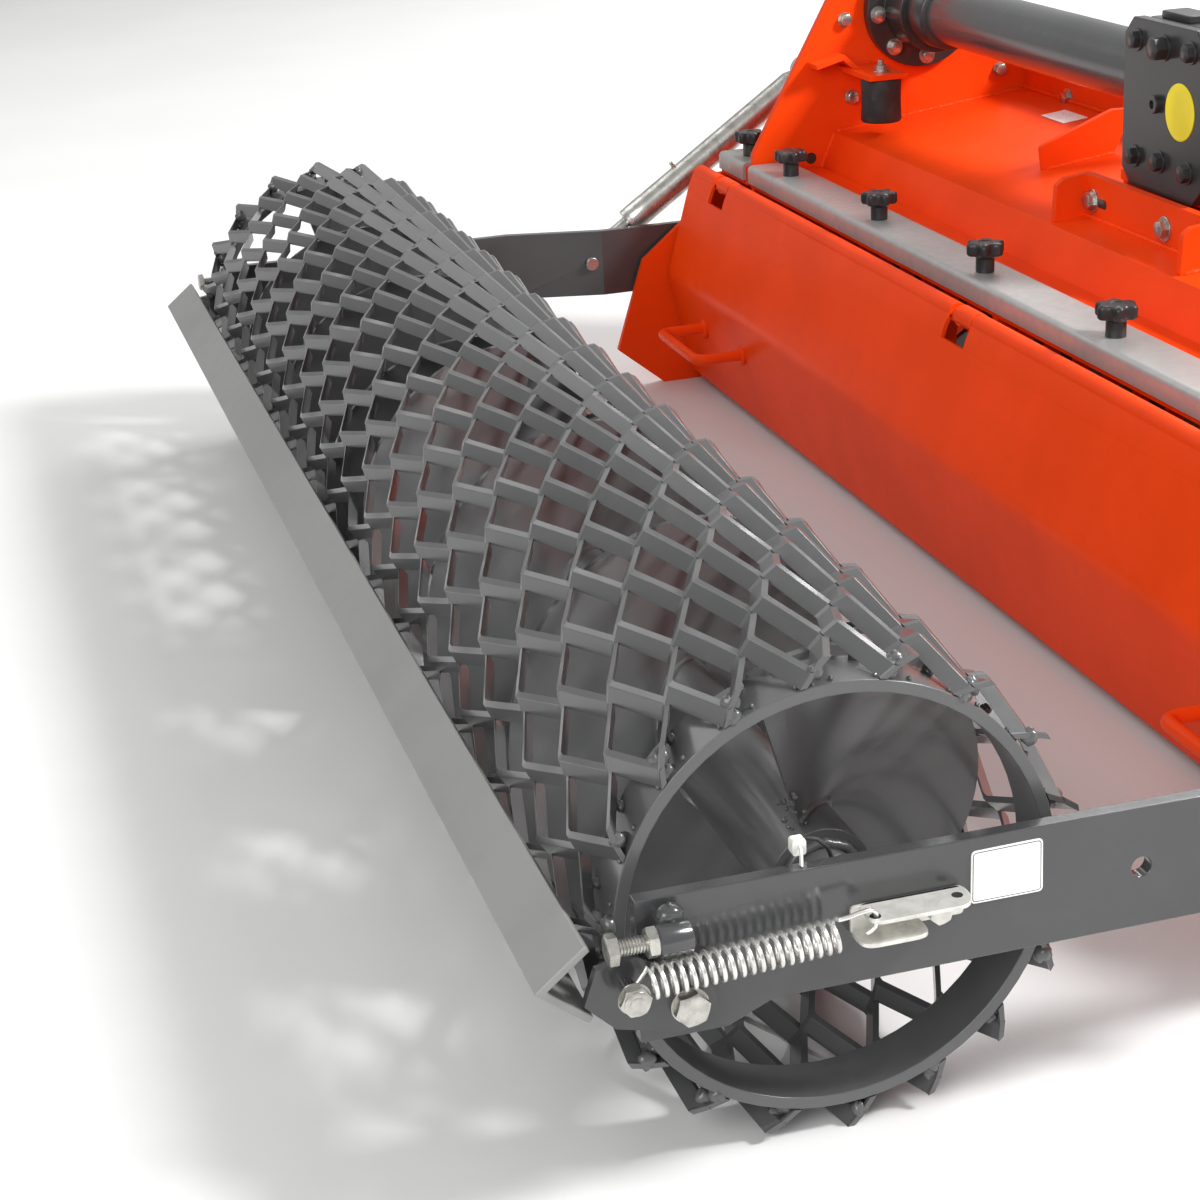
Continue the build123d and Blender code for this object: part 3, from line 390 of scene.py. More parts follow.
RED = Paint("hood_red", (0.90, 0.060, 0.004), roughness=0.38, peel=0.05, dust=0.02, chips=0.08,
            coat=0.02, specular=0.07)
GREY = Paint("roller_grey", (0.088, 0.089, 0.091), roughness=0.3, peel=0.06, dust=0.08, chips=0.2,
             coat=0.4, chip_colour=(0.34, 0.33, 0.31))
BAR_GREY = Paint("bar_grey", (0.25, 0.25, 0.245), roughness=0.34, peel=0.08, dust=0.2, chips=0.5,
                 coat=0.2, chip_colour=(0.34, 0.33, 0.31))
ARM_GREY = Paint("arm_grey", (0.050, 0.051, 0.053), roughness=0.2, peel=0.05, dust=0.05, chips=0.1,
                 coat=0.5)
TUBE_GREY = Paint("tube_grey", (0.062, 0.064, 0.066), roughness=0.24, peel=0.04, dust=0.05,
                  chips=0.06, coat=0.3)
STRIP = Plated("strip_steel", (0.44, 0.44, 0.43), (0.40, 0.40, 0.39), roughness=0.4,
               metallic=0.4, brush=0.08)
BLACK = Paint("gear_black", (0.022, 0.022, 0.023), roughness=0.34, peel=0.08, dust=0.1, chips=0.1)
ZINC = Plated("zinc_plate")
SPRING_STEEL = Plated("spring_zinc", (0.88, 0.87, 0.84), (0.70, 0.69, 0.66), roughness=0.24,
                      metallic=0.8)
CLIP_ZINC = Plated("clip_zinc", (0.80, 0.79, 0.74), (0.62, 0.61, 0.57), roughness=0.42,
                   metallic=0.45, brush=0.08)
# Black rubber of the bumper and grease pipe, also the painted shade in the clip and arm holes.
RUBBER_AND_HOLE_SHADE = Moulded("rubber_and_hole_shade", (0.014, 0.014, 0.015), roughness=0.6, grain=0.3)
KNOB_PLASTIC = Moulded("knob_plastic", (0.017, 0.017, 0.018), roughness=0.35, grain=0.1)
PLATE_WHITE = Moulded("blank_plate", (0.80, 0.80, 0.78), roughness=0.28, grain=0.05, dust=0.06)
# Black of the sign plate's printed border, also the painted shade in the hood's slot and hole.
BORDER_AND_HOLE_SHADE = Moulded("plate_border", (0.02, 0.02, 0.02), roughness=0.3, grain=0.05, dust=0.04)
YELLOW = Moulded("filler_yellow", (0.85, 0.72, 0.01), roughness=0.35, grain=0.05, dust=0.03)
TIE_NYLON = Moulded("tie_nylon", (0.70, 0.70, 0.66), roughness=0.45, grain=0.1, dust=0.1)


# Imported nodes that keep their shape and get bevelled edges: finish, bevel in mm, nodes.
DRESSING: tuple[tuple[Finish, float, tuple[str, ...]], ...] = (
    (GREY, 0.8, ("roller_core", "rotor_shaft", "rotor_blades")),
    (GREY, 0.9, ("roller_rings",)),
    (ARM_GREY, 0.8, ("scraper_lugs",)),
    (ARM_GREY, 1.0, ("arm_left", "arm_right")),
    (ARM_GREY, 1.2, ("roller_bearings",)),
    (BAR_GREY, 1.0, ("scraper_bar",)),
    (ZINC, 0.7, ("arm_link_pins", "strut_tube_left", "strut_tube_right", "strut_rod_left",
                 "strut_rod_right")),
    (ZINC, 0.8, ("hood_pins", "input_shaft", "lower_link_pins")),
    (RED, 0.6, ("hinge_rod",)),
    (RED, 0.8, ("stone_comb",)),
    (RED, 1.0, ("hood_deck", "side_wall_left", "side_wall_right", "drive_wall", "front_apron")),
    (RED, 1.2, ("lower_link_brackets",)),
    (RED, 1.5, ("top_link_mast",)),
    (RED, 2.0, ("side_drive_case",)),
    (RED, 2.5, ("front_beam",)),
    (BLACK, 1.2, ("gearbox_cover", "rotor_bearing")),
    (BLACK, 1.4, ("drive_flange",)),
    (BLACK, 3.0, ("gearbox",)),
    (TUBE_GREY, 0.5, ("drive_tube",)),
)


# ---------------------------------------------------------------- surfaces


def grid_faces(rows: int, columns: int) -> Array:
    """Quads between the rows of a grid whose columns close on themselves.

    Args:
        rows: Number of rows.
        columns: Points of each row.

    Returns:
        Indices (n, 4) into the grid's points, counted row by row.
    """
    i, j = np.meshgrid(np.arange(rows - 1), np.arange(columns), indexing="ij")
    k = (j + 1) % columns
    quads = np.stack([i * columns + j, (i + 1) * columns + j, (i + 1) * columns + k,
                      i * columns + k], axis=-1)
    return quads.reshape(-1, 4)


def across(direction: Array) -> tuple[Array, Array]:
    """Two unit vectors square to a direction and to each other.

    Args:
        direction: Unit vector.

    Returns:
        The direction crossed with an axis that it isn't along, and the result crossed with the
        direction.
    """
    seed = AXIS_Z if abs(direction[2]) < 0.9 else AXIS_X
    side = np.cross(direction, seed)
    side = side / np.linalg.norm(side)
    return side, np.cross(side, direction)


class Shell:
    """Closed surfaces gathered into one mesh."""

    def __init__(self) -> None:
        """Start with nothing."""
        self.points: list[Array] = []
        self.faces: list[list[int]] = []
        self.count = 0

    def add(self, points: Array, faces: Sequence[Sequence[int]]) -> "Shell":
        """Add a surface.

        Args:
            points: Its points, one row each.
            faces: Its faces as indices into those points.

        Returns:
            This shell.
        """
        self.points.append(np.asarray(points, float))
        self.faces.extend([[int(v) + self.count for v in face] for face in faces])
        self.count += len(points)
        return self

    def tube(self, rings: Array) -> "Shell":
        """Skin a stack of rings and close both ends with a flat face.

        Args:
            rings: Points (row, corner, 3).

        Returns:
            This shell.
        """
        rows, columns = rings.shape[:2]
        faces = grid_faces(rows, columns).tolist()
        faces.append(list(range(columns))[::-1])
        faces.append([(rows - 1) * columns + j for j in range(columns)])
        return self.add(rings.reshape(-1, 3), faces)

    def spin(self, profile: Sequence[tuple[float, float]], origin: Array, axis: Array,
             sides: int = 28) -> "Shell":
        """Surface of revolution: each (along, radius) pair is a circle round the axis.

        Args:
            profile: Distances along the axis and radii, in metres.
            origin: Where along is 0.
            axis: Unit direction.
            sides: Corners of each circle.

        Returns:
            This shell.
        """
        side, up = across(axis)
        angle = np.linspace(0, TURN, sides, endpoint=False)
        wheel = np.outer(np.cos(angle), side) + np.outer(np.sin(angle), up)
        line = np.asarray(profile, float)
        radius = np.maximum(line[:, 1], 1e-5)
        rings = origin + line[:, 0, None, None] * axis + radius[:, None, None] * wheel
        return self.tube(rings)

    def hexed(self, flats: float, low: float, high: float, origin: Array, axis: Array,
              both: bool = False, turn: float = 0.0) -> "Shell":
        """Hexagon whose corners are turned off by a cone, as on a bolt head or nut.

        The radius at an angle is half the width across flats over the cosine of the angle from
        the nearest flat's middle; the end circle is the one that touches the flats, and a side
        stands lower where its radius is larger.

        Args:
            flats: Width across flats in metres.
            low: Start along the axis.
            high: End along the axis.
            origin: Where along is 0.
            axis: Unit direction.
            both: True to turn off the low end too.
            turn: Angle of the first flat.

        Returns:
            This shell.
        """
        side, up = across(axis)
        angle = np.linspace(0, TURN, HEX_STEPS, endpoint=False)
        flat = flats / 2
        radius = flat / np.cos((angle + math.pi / 6) % (math.pi / 3) - math.pi / 6)
        drop = (radius - flat) * 0.58 + flat * 0.04
        wheel = np.outer(np.cos(angle + turn), side) + np.outer(np.sin(angle + turn), up)
        rows = []
        if both:
            rows.append((np.full(HEX_STEPS, flat * 0.93), np.full(HEX_STEPS, low)))
            rows.append((radius, low + drop))
        else:
            rows.append((radius, np.full(HEX_STEPS, low)))
        rows.append((radius, high - drop))
        rows.append((np.full(HEX_STEPS, flat * 0.93), np.full(HEX_STEPS, high)))
        rings = np.stack([origin + h[:, None] * axis + r[:, None] * wheel for r, h in rows])
        return self.tube(rings)

    def thread(self, radius: float, start: float, end: float, pitch: float, origin: Array,
               axis: Array) -> "Shell":
        """Screw thread as a row of ridges.

        Along each pitch the radius holds for 0.28 of it, falls by 0.55 of it up to the middle,
        holds to 0.78 of it and rises again.

        Args:
            radius: Radius of the crests, in metres.
            start: Start along the axis.
            end: End along the axis.
            pitch: Length of one ridge.
            origin: Where along is 0.
            axis: Unit direction.

        Returns:
            This shell.
        """
        count = max(int((end - start) / pitch), 1)
        crest = start + np.arange(count) * pitch
        along = np.stack([crest, crest + pitch * 0.28, crest + pitch * 0.5,
                          crest + pitch * 0.78], axis=1).ravel()
        depth = np.tile([radius, radius, radius - 0.55 * pitch, radius - 0.55 * pitch], count)
        along = np.append(along, end)
        depth = np.append(depth, radius - 0.55 * pitch)
        return self.spin(list(zip(along, depth)), origin, axis, 24)

    def sweep(self, path: Array, outline: Array, reference: Array, closed: bool = False) -> "Shell":
        """Carry a closed outline along a path.

        At each point the outline's first direction is the tangent crossed with the reference,
        and its second one is that crossed with the tangent.

        Args:
            path: Points (n, 3).
            outline: Corners (m, 2).
            reference: One vector, or one a point, never along the tangent.
            closed: True where the path runs back into its start.

        Returns:
            This shell.
        """
        if closed:
            tangent = np.roll(path, -1, axis=0) - np.roll(path, 1, axis=0)
        else:
            tangent = np.gradient(path, axis=0)
        tangent = tangent / np.linalg.norm(tangent, axis=1, keepdims=True)
        side = np.cross(tangent, np.broadcast_to(reference, path.shape))
        side = side / np.linalg.norm(side, axis=1, keepdims=True)
        up = np.cross(side, tangent)
        rings = (path[:, None, :] + outline[None, :, 0, None] * side[:, None, :]
                 + outline[None, :, 1, None] * up[:, None, :])
        if not closed:
            return self.tube(rings)
        rows, columns = rings.shape[:2]
        faces = grid_faces(rows + 1, columns) % (rows * columns)
        return self.add(rings.reshape(-1, 3), faces.tolist())

    def prism(self, outline: Array, depth: Array) -> "Shell":
        """Straight plate: a flat outline (n, 3) and its copy moved by depth."""
        return self.tube(np.stack([outline, outline + depth]))

    def lump(self, centre: Array, radii: Sequence[float], seed: int,
             rough: float = 0.18) -> "Shell":
        """Weld blob: an ellipsoid whose radius is varied by a few sine waves.

        Args:
            centre: Its middle.
            radii: Half sizes along X, Y and Z.
            seed: Chooses the waves.
            rough: Share of the radius that varies.

        Returns:
            This shell.
        """
        wave = np.random.default_rng(seed).uniform(0, TURN, 4)
        theta = np.linspace(0.12, math.pi - 0.12, 8)[:, None]
        phi = np.linspace(0, TURN, 12, endpoint=False)[None, :]
        swell = 1 + rough * (np.sin(3 * phi + wave[0]) * np.sin(2 * theta + wave[1])
                             + 0.6 * np.sin(5 * phi + wave[2]) * np.sin(4 * theta + wave[3]))
        shape = np.stack([np.sin(theta) * np.cos(phi) * radii[0],
                          np.sin(theta) * np.sin(phi) * radii[1],
                          np.cos(theta) * np.ones_like(phi) * radii[2]], axis=-1)
        return self.tube(centre + shape * swell[..., None])

    def bead(self, start: Array, end: Array, radius: float, seed: int = 0) -> "Shell":
        """Weld bead between two points, swelling and thinning like overlapping drops.

        The radius is multiplied by one plus three sine waves along the bead, and falls off towards
        both ends.

        Args:
            start: One end.
            end: The other end.
            radius: Mean radius in metres.
            seed: Chooses where the waves start.

        Returns:
            This shell.
        """
        length = float(np.linalg.norm(end - start))
        count = max(int(length / BEAD_STEP), 6)
        share = np.linspace(0, 1, count)
        path = start + share[:, None] * (end - start)
        waves = np.random.default_rng(seed).uniform(0, TURN, 3)
        swell = 1.0
        for (size, period), wave in zip(BEAD_WAVES, waves):
            swell = swell + size * np.sin(share * length / period * TURN + wave)
        swell = swell * np.minimum(1, np.minimum(share, 1 - share) * length / radius + 0.3)
        axis = (end - start) / length
        side, up = across(axis)
        angle = np.linspace(0, TURN, 8, endpoint=False)
        wheel = np.outer(np.cos(angle), side) + np.outer(np.sin(angle), up)
        return self.tube(path[:, None, :] + radius * swell[:, None, None] * wheel[None])

    def mirror(self) -> "Shell":
        """A copy on the other side of the machine, with X turned to minus X.

        Returns:
            The copy.
        """
        twin = Shell()
        flip = np.array([-1.0, 1.0, 1.0])
        twin.add(np.concatenate(self.points) * flip, self.faces)
        return twin

    def join(self, other: "Shell") -> "Shell":
        """Take in another shell."""
        return self.add(np.concatenate(other.points), other.faces)

    def piece(self, name: str, finish: Finish, body: Optional[Body], slot: str,
              crease: float = 32.0, bevel: float = 0.0, pair: bool = False,
              stands_for: Optional[str] = None) -> bpy.types.Object:
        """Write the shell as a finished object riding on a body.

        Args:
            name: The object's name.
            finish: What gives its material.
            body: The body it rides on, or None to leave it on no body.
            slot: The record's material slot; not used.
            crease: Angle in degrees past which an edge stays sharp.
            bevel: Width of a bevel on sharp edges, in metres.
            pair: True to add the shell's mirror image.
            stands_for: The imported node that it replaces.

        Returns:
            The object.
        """
        if pair:
            self.join(self.mirror())
        mesh = bpy.data.meshes.new(name)
        mesh.from_pydata(np.concatenate(self.points).tolist(), [], self.faces)
        outward(mesh)
        mesh.materials.append(finish.material())
        shown = linked(name, mesh)
        shade(shown, crease, bevel)
        if body:
            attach(shown, body.value)
        if stands_for:
            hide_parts(stands_for)
        LOG.info("%s: %d faces on %s", name, len(self.faces), body)
        return shown


def linked(name: str, data: Any) -> bpy.types.Object:
    """A new object in the scene.

    Args:
        name: Its name.
        data: Its mesh, lamp or camera.

    Returns:
        The object.
    """
    shown = bpy.data.objects.new(name, data)
    bpy.context.scene.collection.objects.link(shown)
    return shown


def outward(mesh: bpy.types.Mesh, merge: bool = False) -> None:
    """Turn every closed shell's faces outwards.

    Args:
        mesh: The mesh.
        merge: True to merge double points and flat faces first.
    """
    edit = bmesh.new()
    edit.from_mesh(mesh)
    if merge:
        bmesh.ops.remove_doubles(edit, verts=edit.verts, dist=1e-6)
        bmesh.ops.dissolve_limit(edit, angle_limit=math.radians(0.6), verts=edit.verts,
                                 edges=edit.edges)
    bmesh.ops.recalc_face_normals(edit, faces=edit.faces)
    edit.to_mesh(mesh)
    edit.free()


def shade(shown: bpy.types.Object, crease: float, bevel: float) -> None:
    """Smooth shading with sharp creases, and a bevel where one is wanted.

    Args:
        shown: The object.
        crease: Angle in degrees past which an edge is sharp.
        bevel: Width of the bevel in metres, or 0 for none.
    """
    shown.data.shade_smooth()
    shown.data.set_sharp_from_angle(angle=math.radians(crease))
    if bevel:
        cut = shown.modifiers.new("edge", "BEVEL")
        cut.width = bevel
        cut.segments = 2
        cut.limit_method = "ANGLE"
        cut.angle_limit = math.radians(crease)
        cut.harden_normals = True


def circle(radius: float, corners: int) -> Array:
    """Corners of a circle about the origin of a section plane."""
    angle = np.linspace(0, TURN, corners, endpoint=False)
    return np.stack([np.cos(angle), np.sin(angle)], axis=1) * radius


def rounded(corners: Sequence[tuple[float, float]], radius: float, steps: int = 5) -> Array:
    """Polygon with every corner replaced by an arc.

    A corner's arc is the quadratic curve from one trim point to the other, drawn towards the
    corner; each trim point is the radius away along its side, or 0.45 of the side if shorter.

    Args:
        corners: The polygon's corners.
        radius: Trim distance.
        steps: Points of each arc.

    Returns:
        Points (n, 2).
    """
    spot = np.asarray(corners, float)
    before = np.roll(spot, 1, axis=0) - spot
    after = np.roll(spot, -1, axis=0) - spot
    long_before = np.linalg.norm(before, axis=1, keepdims=True)
    long_after = np.linalg.norm(after, axis=1, keepdims=True)
    start = spot + before / long_before * np.minimum(radius, 0.45 * long_before)
    end = spot + after / long_after * np.minimum(radius, 0.45 * long_after)
    t = np.linspace(0, 1, steps)[None, :, None]
    arcs = ((1 - t) ** 2 * start[:, None] + 2 * t * (1 - t) * spot[:, None] + t ** 2 * end[:, None])
    return arcs.reshape(-1, 2)


def folded(line: Sequence[tuple[float, float]], thickness: float, bend: float,
           steps: int = 7) -> Array:
    """Closed outline of a bent sheet.

    Each inner corner becomes the quadratic curve between two points the bend distance away; the
    outline is that line moved by half the thickness along its normal, out and back.

    Args:
        line: The sheet's middle line.
        thickness: Its thickness.
        bend: Trim distance at a corner.
        steps: Points of each bend.

    Returns:
        Points (n, 2).
    """
    spot = np.asarray(line, float)
    t = np.linspace(0, 1, steps)[None, :, None]
    inner = spot[1:-1, None]
    to_last = spot[:-2, None] - inner
    to_next = spot[2:, None] - inner
    start = inner + to_last / np.linalg.norm(to_last, axis=2, keepdims=True) * bend
    end = inner + to_next / np.linalg.norm(to_next, axis=2, keepdims=True) * bend
    arcs = (1 - t) ** 2 * start + 2 * t * (1 - t) * inner + t ** 2 * end
    path = np.concatenate([spot[:1], arcs.reshape(-1, 2), spot[-1:]])
    tangent = np.gradient(path, axis=0)
    tangent[0] = path[1] - path[0]
    tangent[-1] = path[-1] - path[-2]
    tangent = tangent / np.linalg.norm(tangent, axis=1, keepdims=True)
    normal = np.stack([-tangent[:, 1], tangent[:, 0]], axis=1) * thickness / 2
    return np.concatenate([path + normal, (path - normal)[::-1]])


def rim(x: Any, radius: Any, angle: Any) -> Array:
    """Points round the roller's axis, in metres.

    Args:
        x: Place across.
        radius: Distance from the axis.
        angle: Angle in radians from straight ahead, upwards.

    Returns:
        Array (..., 3).
    """
    x, radius, angle = np.broadcast_arrays(x, radius, angle)
    return np.stack([x, ROLLER_Y + radius * np.cos(angle), ROLLER_Z + radius * np.sin(angle)],
                    axis=-1)


def level(outline: Array, height: float) -> Array:
    """An (across, forward) outline in millimetres laid flat at a height, in metres."""
    return np.stack([outline[:, 0] / MM, ROLLER_Y + outline[:, 1] / MM,
                     np.full(len(outline), height / MM)], axis=1)


def side_plate(outline: Array, x: float) -> Array:
    """A (forward, height) outline in millimetres set upright at a place across, in metres."""
    return np.stack([np.full(len(outline), x), ROLLER_Y + outline[:, 0] / MM,
                     outline[:, 1] / MM], axis=1)


# ---------------------------------------------------------------- machine


class Machine:
    """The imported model's nodes, and what dresses them."""

    def __init__(self, frame: dict) -> None:
        """Look up each node's body and material slot.
        """
        self.nodes = frame["nodes"]
        record = frame["record"]
        bodies = record["behaviour"]["bodies"]
        self.body_of = {node: body for body, nodes in bodies.items() for node in nodes}
        self.slot_of = {part["node"]: part["material_slot"] for part in record["subparts"]}

    def soften(self, node: str, finish: Finish, width: float, crease: float = 32.0) -> None:
        """Stand a copy with merged points and bevelled edges in a node's place.

        Args:
            node: The node's name.
            finish: What gives its material.
            width: Bevel width in millimetres.
            crease: Angle in degrees past which an edge is bevelled.
        """
        mesh = self.nodes[node].data.copy()
        outward(mesh, merge=True)
        mesh.materials.clear()
        mesh.materials.append(finish.material())
        shown = linked("dressed_" + node, mesh)
        shade(shown, crease, width / MM)
        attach(shown, self.body_of[node])
        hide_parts(node)
        LOG.info("dressed %s", node)


@dataclass(frozen=True)
class Head:
    """Hexagon of a bolt or nut: width across flats, height and washer's radius, in metres."""

    flats: float
    height: float
    washer: float = 0.0

    def seat(self, shell: Shell, origin: Array, axis: Array) -> float:
        """Add the washer, if there is one.

        Args:
            shell: What takes it.
            origin: The washer's middle, on the surface.
            axis: Unit direction away from the surface.

        Returns:
            The height in metres at which the hexagon starts.
        """
        if not self.washer:
            return 0.0
        top = WASHER_T - 0.0003
        shell.spin([(-0.0004, self.washer), (top, self.washer), (WASHER_T, self.washer - 0.0003)],
                   origin, axis)
        return WASHER_T


BEARING_HEAD = Head(0.013, 0.005)
STOP_HEAD = Head(0.0165, 0.0058)
PIVOT_HEAD = Head(0.019, 0.0068, 0.0115)
CHANNEL_HEAD = Head(0.015, 0.0066, 0.0120)
BEAM_TOP_HEAD = Head(0.013, 0.006, 0.0105)
BEAM_REAR_HEAD = Head(0.013, 0.0062, 0.0115)
WALL_HEAD = Head(0.013, 0.0062, 0.0085)
COVER_HEAD = Head(0.0145, 0.0062, 0.0105)
COVER_PLUG_HEAD = Head(0.019, 0.0120, 0.0120)
FLANGE_HEAD = Head(0.013, 0.0065, 0.0100)
BUMPER_NUT = Head(0.013, 0.0065, 0.0095)
CLIP_NUT = Head(0.013, 0.008)


def bolt(shell: Shell, origin: Array, axis: Array, head: Head, turn: float = 0.0) -> None:
    """Hex bolt head on a surface."""
    rise = head.seat(shell, origin, axis)
    shell.hexed(head.flats, rise - 0.0003, rise + head.height, origin, axis, turn=turn)


def nut(shell: Shell, origin: Array, axis: Array, head: Head, stud: float, proud: float) -> None:
    """Hex nut on a surface, and the threaded end that stands proud of it.

    Args:
        shell: What takes them.
        origin: The nut's middle, on the surface.
        axis: Unit direction away from the surface.
        head: The nut's size.
        stud: Radius of the threaded end, in metres.
        proud: How far it stands out of the nut.
    """
    rise = head.seat(shell, origin, axis)
    shell.hexed(head.flats, rise - 0.0002, rise + head.height, origin, axis, both=True)
    end = rise + head.height
    shell.thread(stud, end - 0.001, end + proud, stud * 0.3, origin, axis)


def painted_hole_shade(shell: Shell, centre: Array, axis: Array, radius: float, sides: int = 20) -> None:
    """Dark disc a hair proud of its surface: painted shade where a hole shows dark."""
    shell.spin([(0.0, radius), (HOLE_T, radius)], centre, axis, sides)


@dataclass
class CageRoller:
    """Roller: expanded-metal jacket, end rings, tube and the flights between them."""

    ring_r: float = 140.5
    jacket_height: float = 17.0
    half: float = 825.0
    cells_along: int = 16
    cells_round: int = 18
    strand_t: float = 3.3
    knuckle: float = 0.085
    tube_r: float = 33.3
    flight_pitch: float = 250.0
    flight_t: float = 6.0
    flight_turn: float = 106.0
    flight_inset: float = 40.3
    flight_span: float = 1116.0
    foot_r: float = 34.5

    def strands(self) -> Array:
        """Points of every strand.

        A strand's place round the roller is a zigzag along X with short flat tops: a triangle
        wave, stretched and clipped. Its section is a leaning four-sided bar with trimmed corners.
        Strand k is turned by k times the pitch, and every second strand is half a wave ahead.

        Returns:
            Array (strand, station, corner, 3).
        """
        count = 2 * self.cells_round
        mean_r = self.ring_r + self.jacket_height / 2
        half_pitch = math.pi * mean_r / count
        rise = self.jacket_height / 4
        swing = half_pitch - rise + 0.1
        step = 2 * self.half / (2 * self.cells_along)
        local = np.array([0.0, self.knuckle / 2, 0.5, 1 - self.knuckle / 2])
        station = (np.arange(2 * self.cells_along)[:, None] + local).ravel()
        station = np.append(station, 2 * self.cells_along)
        inside = station - np.floor(station)
        ramp = np.clip((inside - 0.5) / (0.5 - self.knuckle / 2), -1, 1)
        sign = np.where(np.floor(station) % 2 == 0, 1.0, -1.0)
        wave = sign * -ramp
        t = self.strand_t / math.sin(math.radians(45)) / 2
        w = rise - 0.12
        trim = 0.25
        corner = np.array([(-w - t, -w), (-w + t, -w), (w + t, w), (w - t, w)])
        nxt = np.roll(corner, -1, axis=0) - corner
        prv = np.roll(corner, 1, axis=0) - corner
        section = np.stack([corner + prv / np.linalg.norm(prv, axis=1, keepdims=True) * trim,
                            corner + nxt / np.linalg.norm(nxt, axis=1, keepdims=True) * trim],
                           axis=1).reshape(-1, 2)
        strand = np.arange(count)
        flip = np.where(strand % 2 == 0, -1.0, 1.0)
        side = flip[:, None] * wave[None, :]
        across_v = side[..., None] * swing + section[None, None, :, 0]
        height = mean_r + 0.3 - side[..., None] * rise + section[None, None, :, 1]
        angle = -TURN * strand / count
        turn_c = np.cos(angle)[:, None, None]
        turn_s = np.sin(angle)[:, None, None]
        y = across_v * turn_c - height * turn_s
        z = across_v * turn_s + height * turn_c
        x = np.broadcast_to((-self.half + station * step)[None, :, None], y.shape)
        return np.stack([x / MM, ROLLER_Y + y / MM, ROLLER_Z + z / MM], axis=-1)

    def jacket(self) -> None:
        """Build the expanded-metal jacket in the node's place."""
        shell = Shell()
        for rings in self.strands():
            shell.tube(rings)
        shell.piece("cage_jacket", GREY, Body.ROLLER, "dark_grey", crease=18,
                    stands_for="roller_mesh")

    def flights(self) -> None:
        """Helical flights between tube and jacket, of opposite hands on the two halves.

        A station at turn angle a stands at X = start - (first angle - a) / 360 of the pitch; its
        section is the strip from the tube's radius to the jacket's, six millimetres thick.
        """
        start = self.half - self.flight_inset
        turn = np.arange(0.0, self.flight_span, 4.0)
        angle = np.radians(self.flight_turn - turn)[:, None]
        x = (start - turn / 360 * self.flight_pitch)[:, None]
        radius = np.array([self.tube_r, self.ring_r - 0.5, self.ring_r - 0.5, self.tube_r])[None]
        shift = np.array([0.0, 0.0, self.flight_t, self.flight_t])[None]
        shell = Shell().tube(rim((x - shift) / MM, radius / MM, angle))
        foot = turn[::2] + 1.0
        wave = 1 + 0.14 * np.sin(foot * 0.31) + 0.1 * np.sin(foot * 0.83)
        path = rim((start + 0.4 - foot / 360 * self.flight_pitch) / MM, self.foot_r / MM,
                   np.radians(self.flight_turn - foot))
        bead = circle(0.0026, 6)[None] * wave[:, None, None]
        side = np.stack([np.zeros(len(foot)), path[:, 1] - ROLLER_Y, path[:, 2] - ROLLER_Z], axis=1)
        side = side / np.linalg.norm(side, axis=1, keepdims=True)
        shell.tube(path[:, None] + bead[..., 0, None] * side[:, None] + bead[..., 1, None] * AXIS_X)
        for i in range(14):
            at = math.radians(self.flight_turn + 2 + 9 * math.sin(i * 2.4))
            lift = self.foot_r / MM + 0.011 * (math.sin(i * 1.7) + 1)
            size = 0.0009 + 0.0012 * ((i * 5) % 7) / 7
            shell.lump(rim((start + 1.0) / MM + size * 0.4, lift, at), (size,) * 3, i, 0.2)
        shell.piece("roller_flights", GREY, Body.ROLLER, "dark_grey", crease=40, pair=True,
                    stands_for="roller_flight")

    def welds(self) -> None:
        """Lumpy welds and spatter where the strands end on the rings, and beads round the hub.

        A bead's radius from the axis is multiplied by one plus two small waves of its angle.
        """
        shell = Shell()
        count = 2 * self.cells_round
        for i in range(count):
            angle = -TURN * i / count + math.pi / 2
            lift = 0.1420 if i % 2 else 0.1485
            shift = 0.075 if i % 2 else -0.075
            spot = rim(0.8215 - 0.004 * (i % 3), lift, angle - shift)
            size = 0.0042 + 0.0016 * ((i * 7) % 5) / 5
            shell.lump(spot, (size, size * 1.15, size * 1.15), i)
            shell.lump(rim(0.8195, 0.1412, angle - shift * 2.2), (0.0016, 0.0014, 0.0016), i + 90)
            shell.lump(rim(0.7935 - 0.0025 * (i % 2), 0.1418, angle), (0.0045, 0.0034, 0.0034),
                       i + 40)
        angle = np.linspace(0, TURN, 60, endpoint=False)
        for x, radius, thick in ((0.7965, 0.0243, 0.0032), (0.8192, 0.0165, 0.0022)):
            swell = 1 + 0.02 * np.sin(9 * angle) + 0.015 * np.sin(23 * angle)
            path = rim(x, radius * swell, angle)
            shell.sweep(path, circle(thick, 8), AXIS_X, closed=True)
        shell.piece("roller_welds", GREY, Body.ROLLER, "dark_grey", crease=60, pair=True)

    def build(self) -> None:
        """Build every piece of the roller."""
        self.jacket()
        self.flights()
        self.welds()


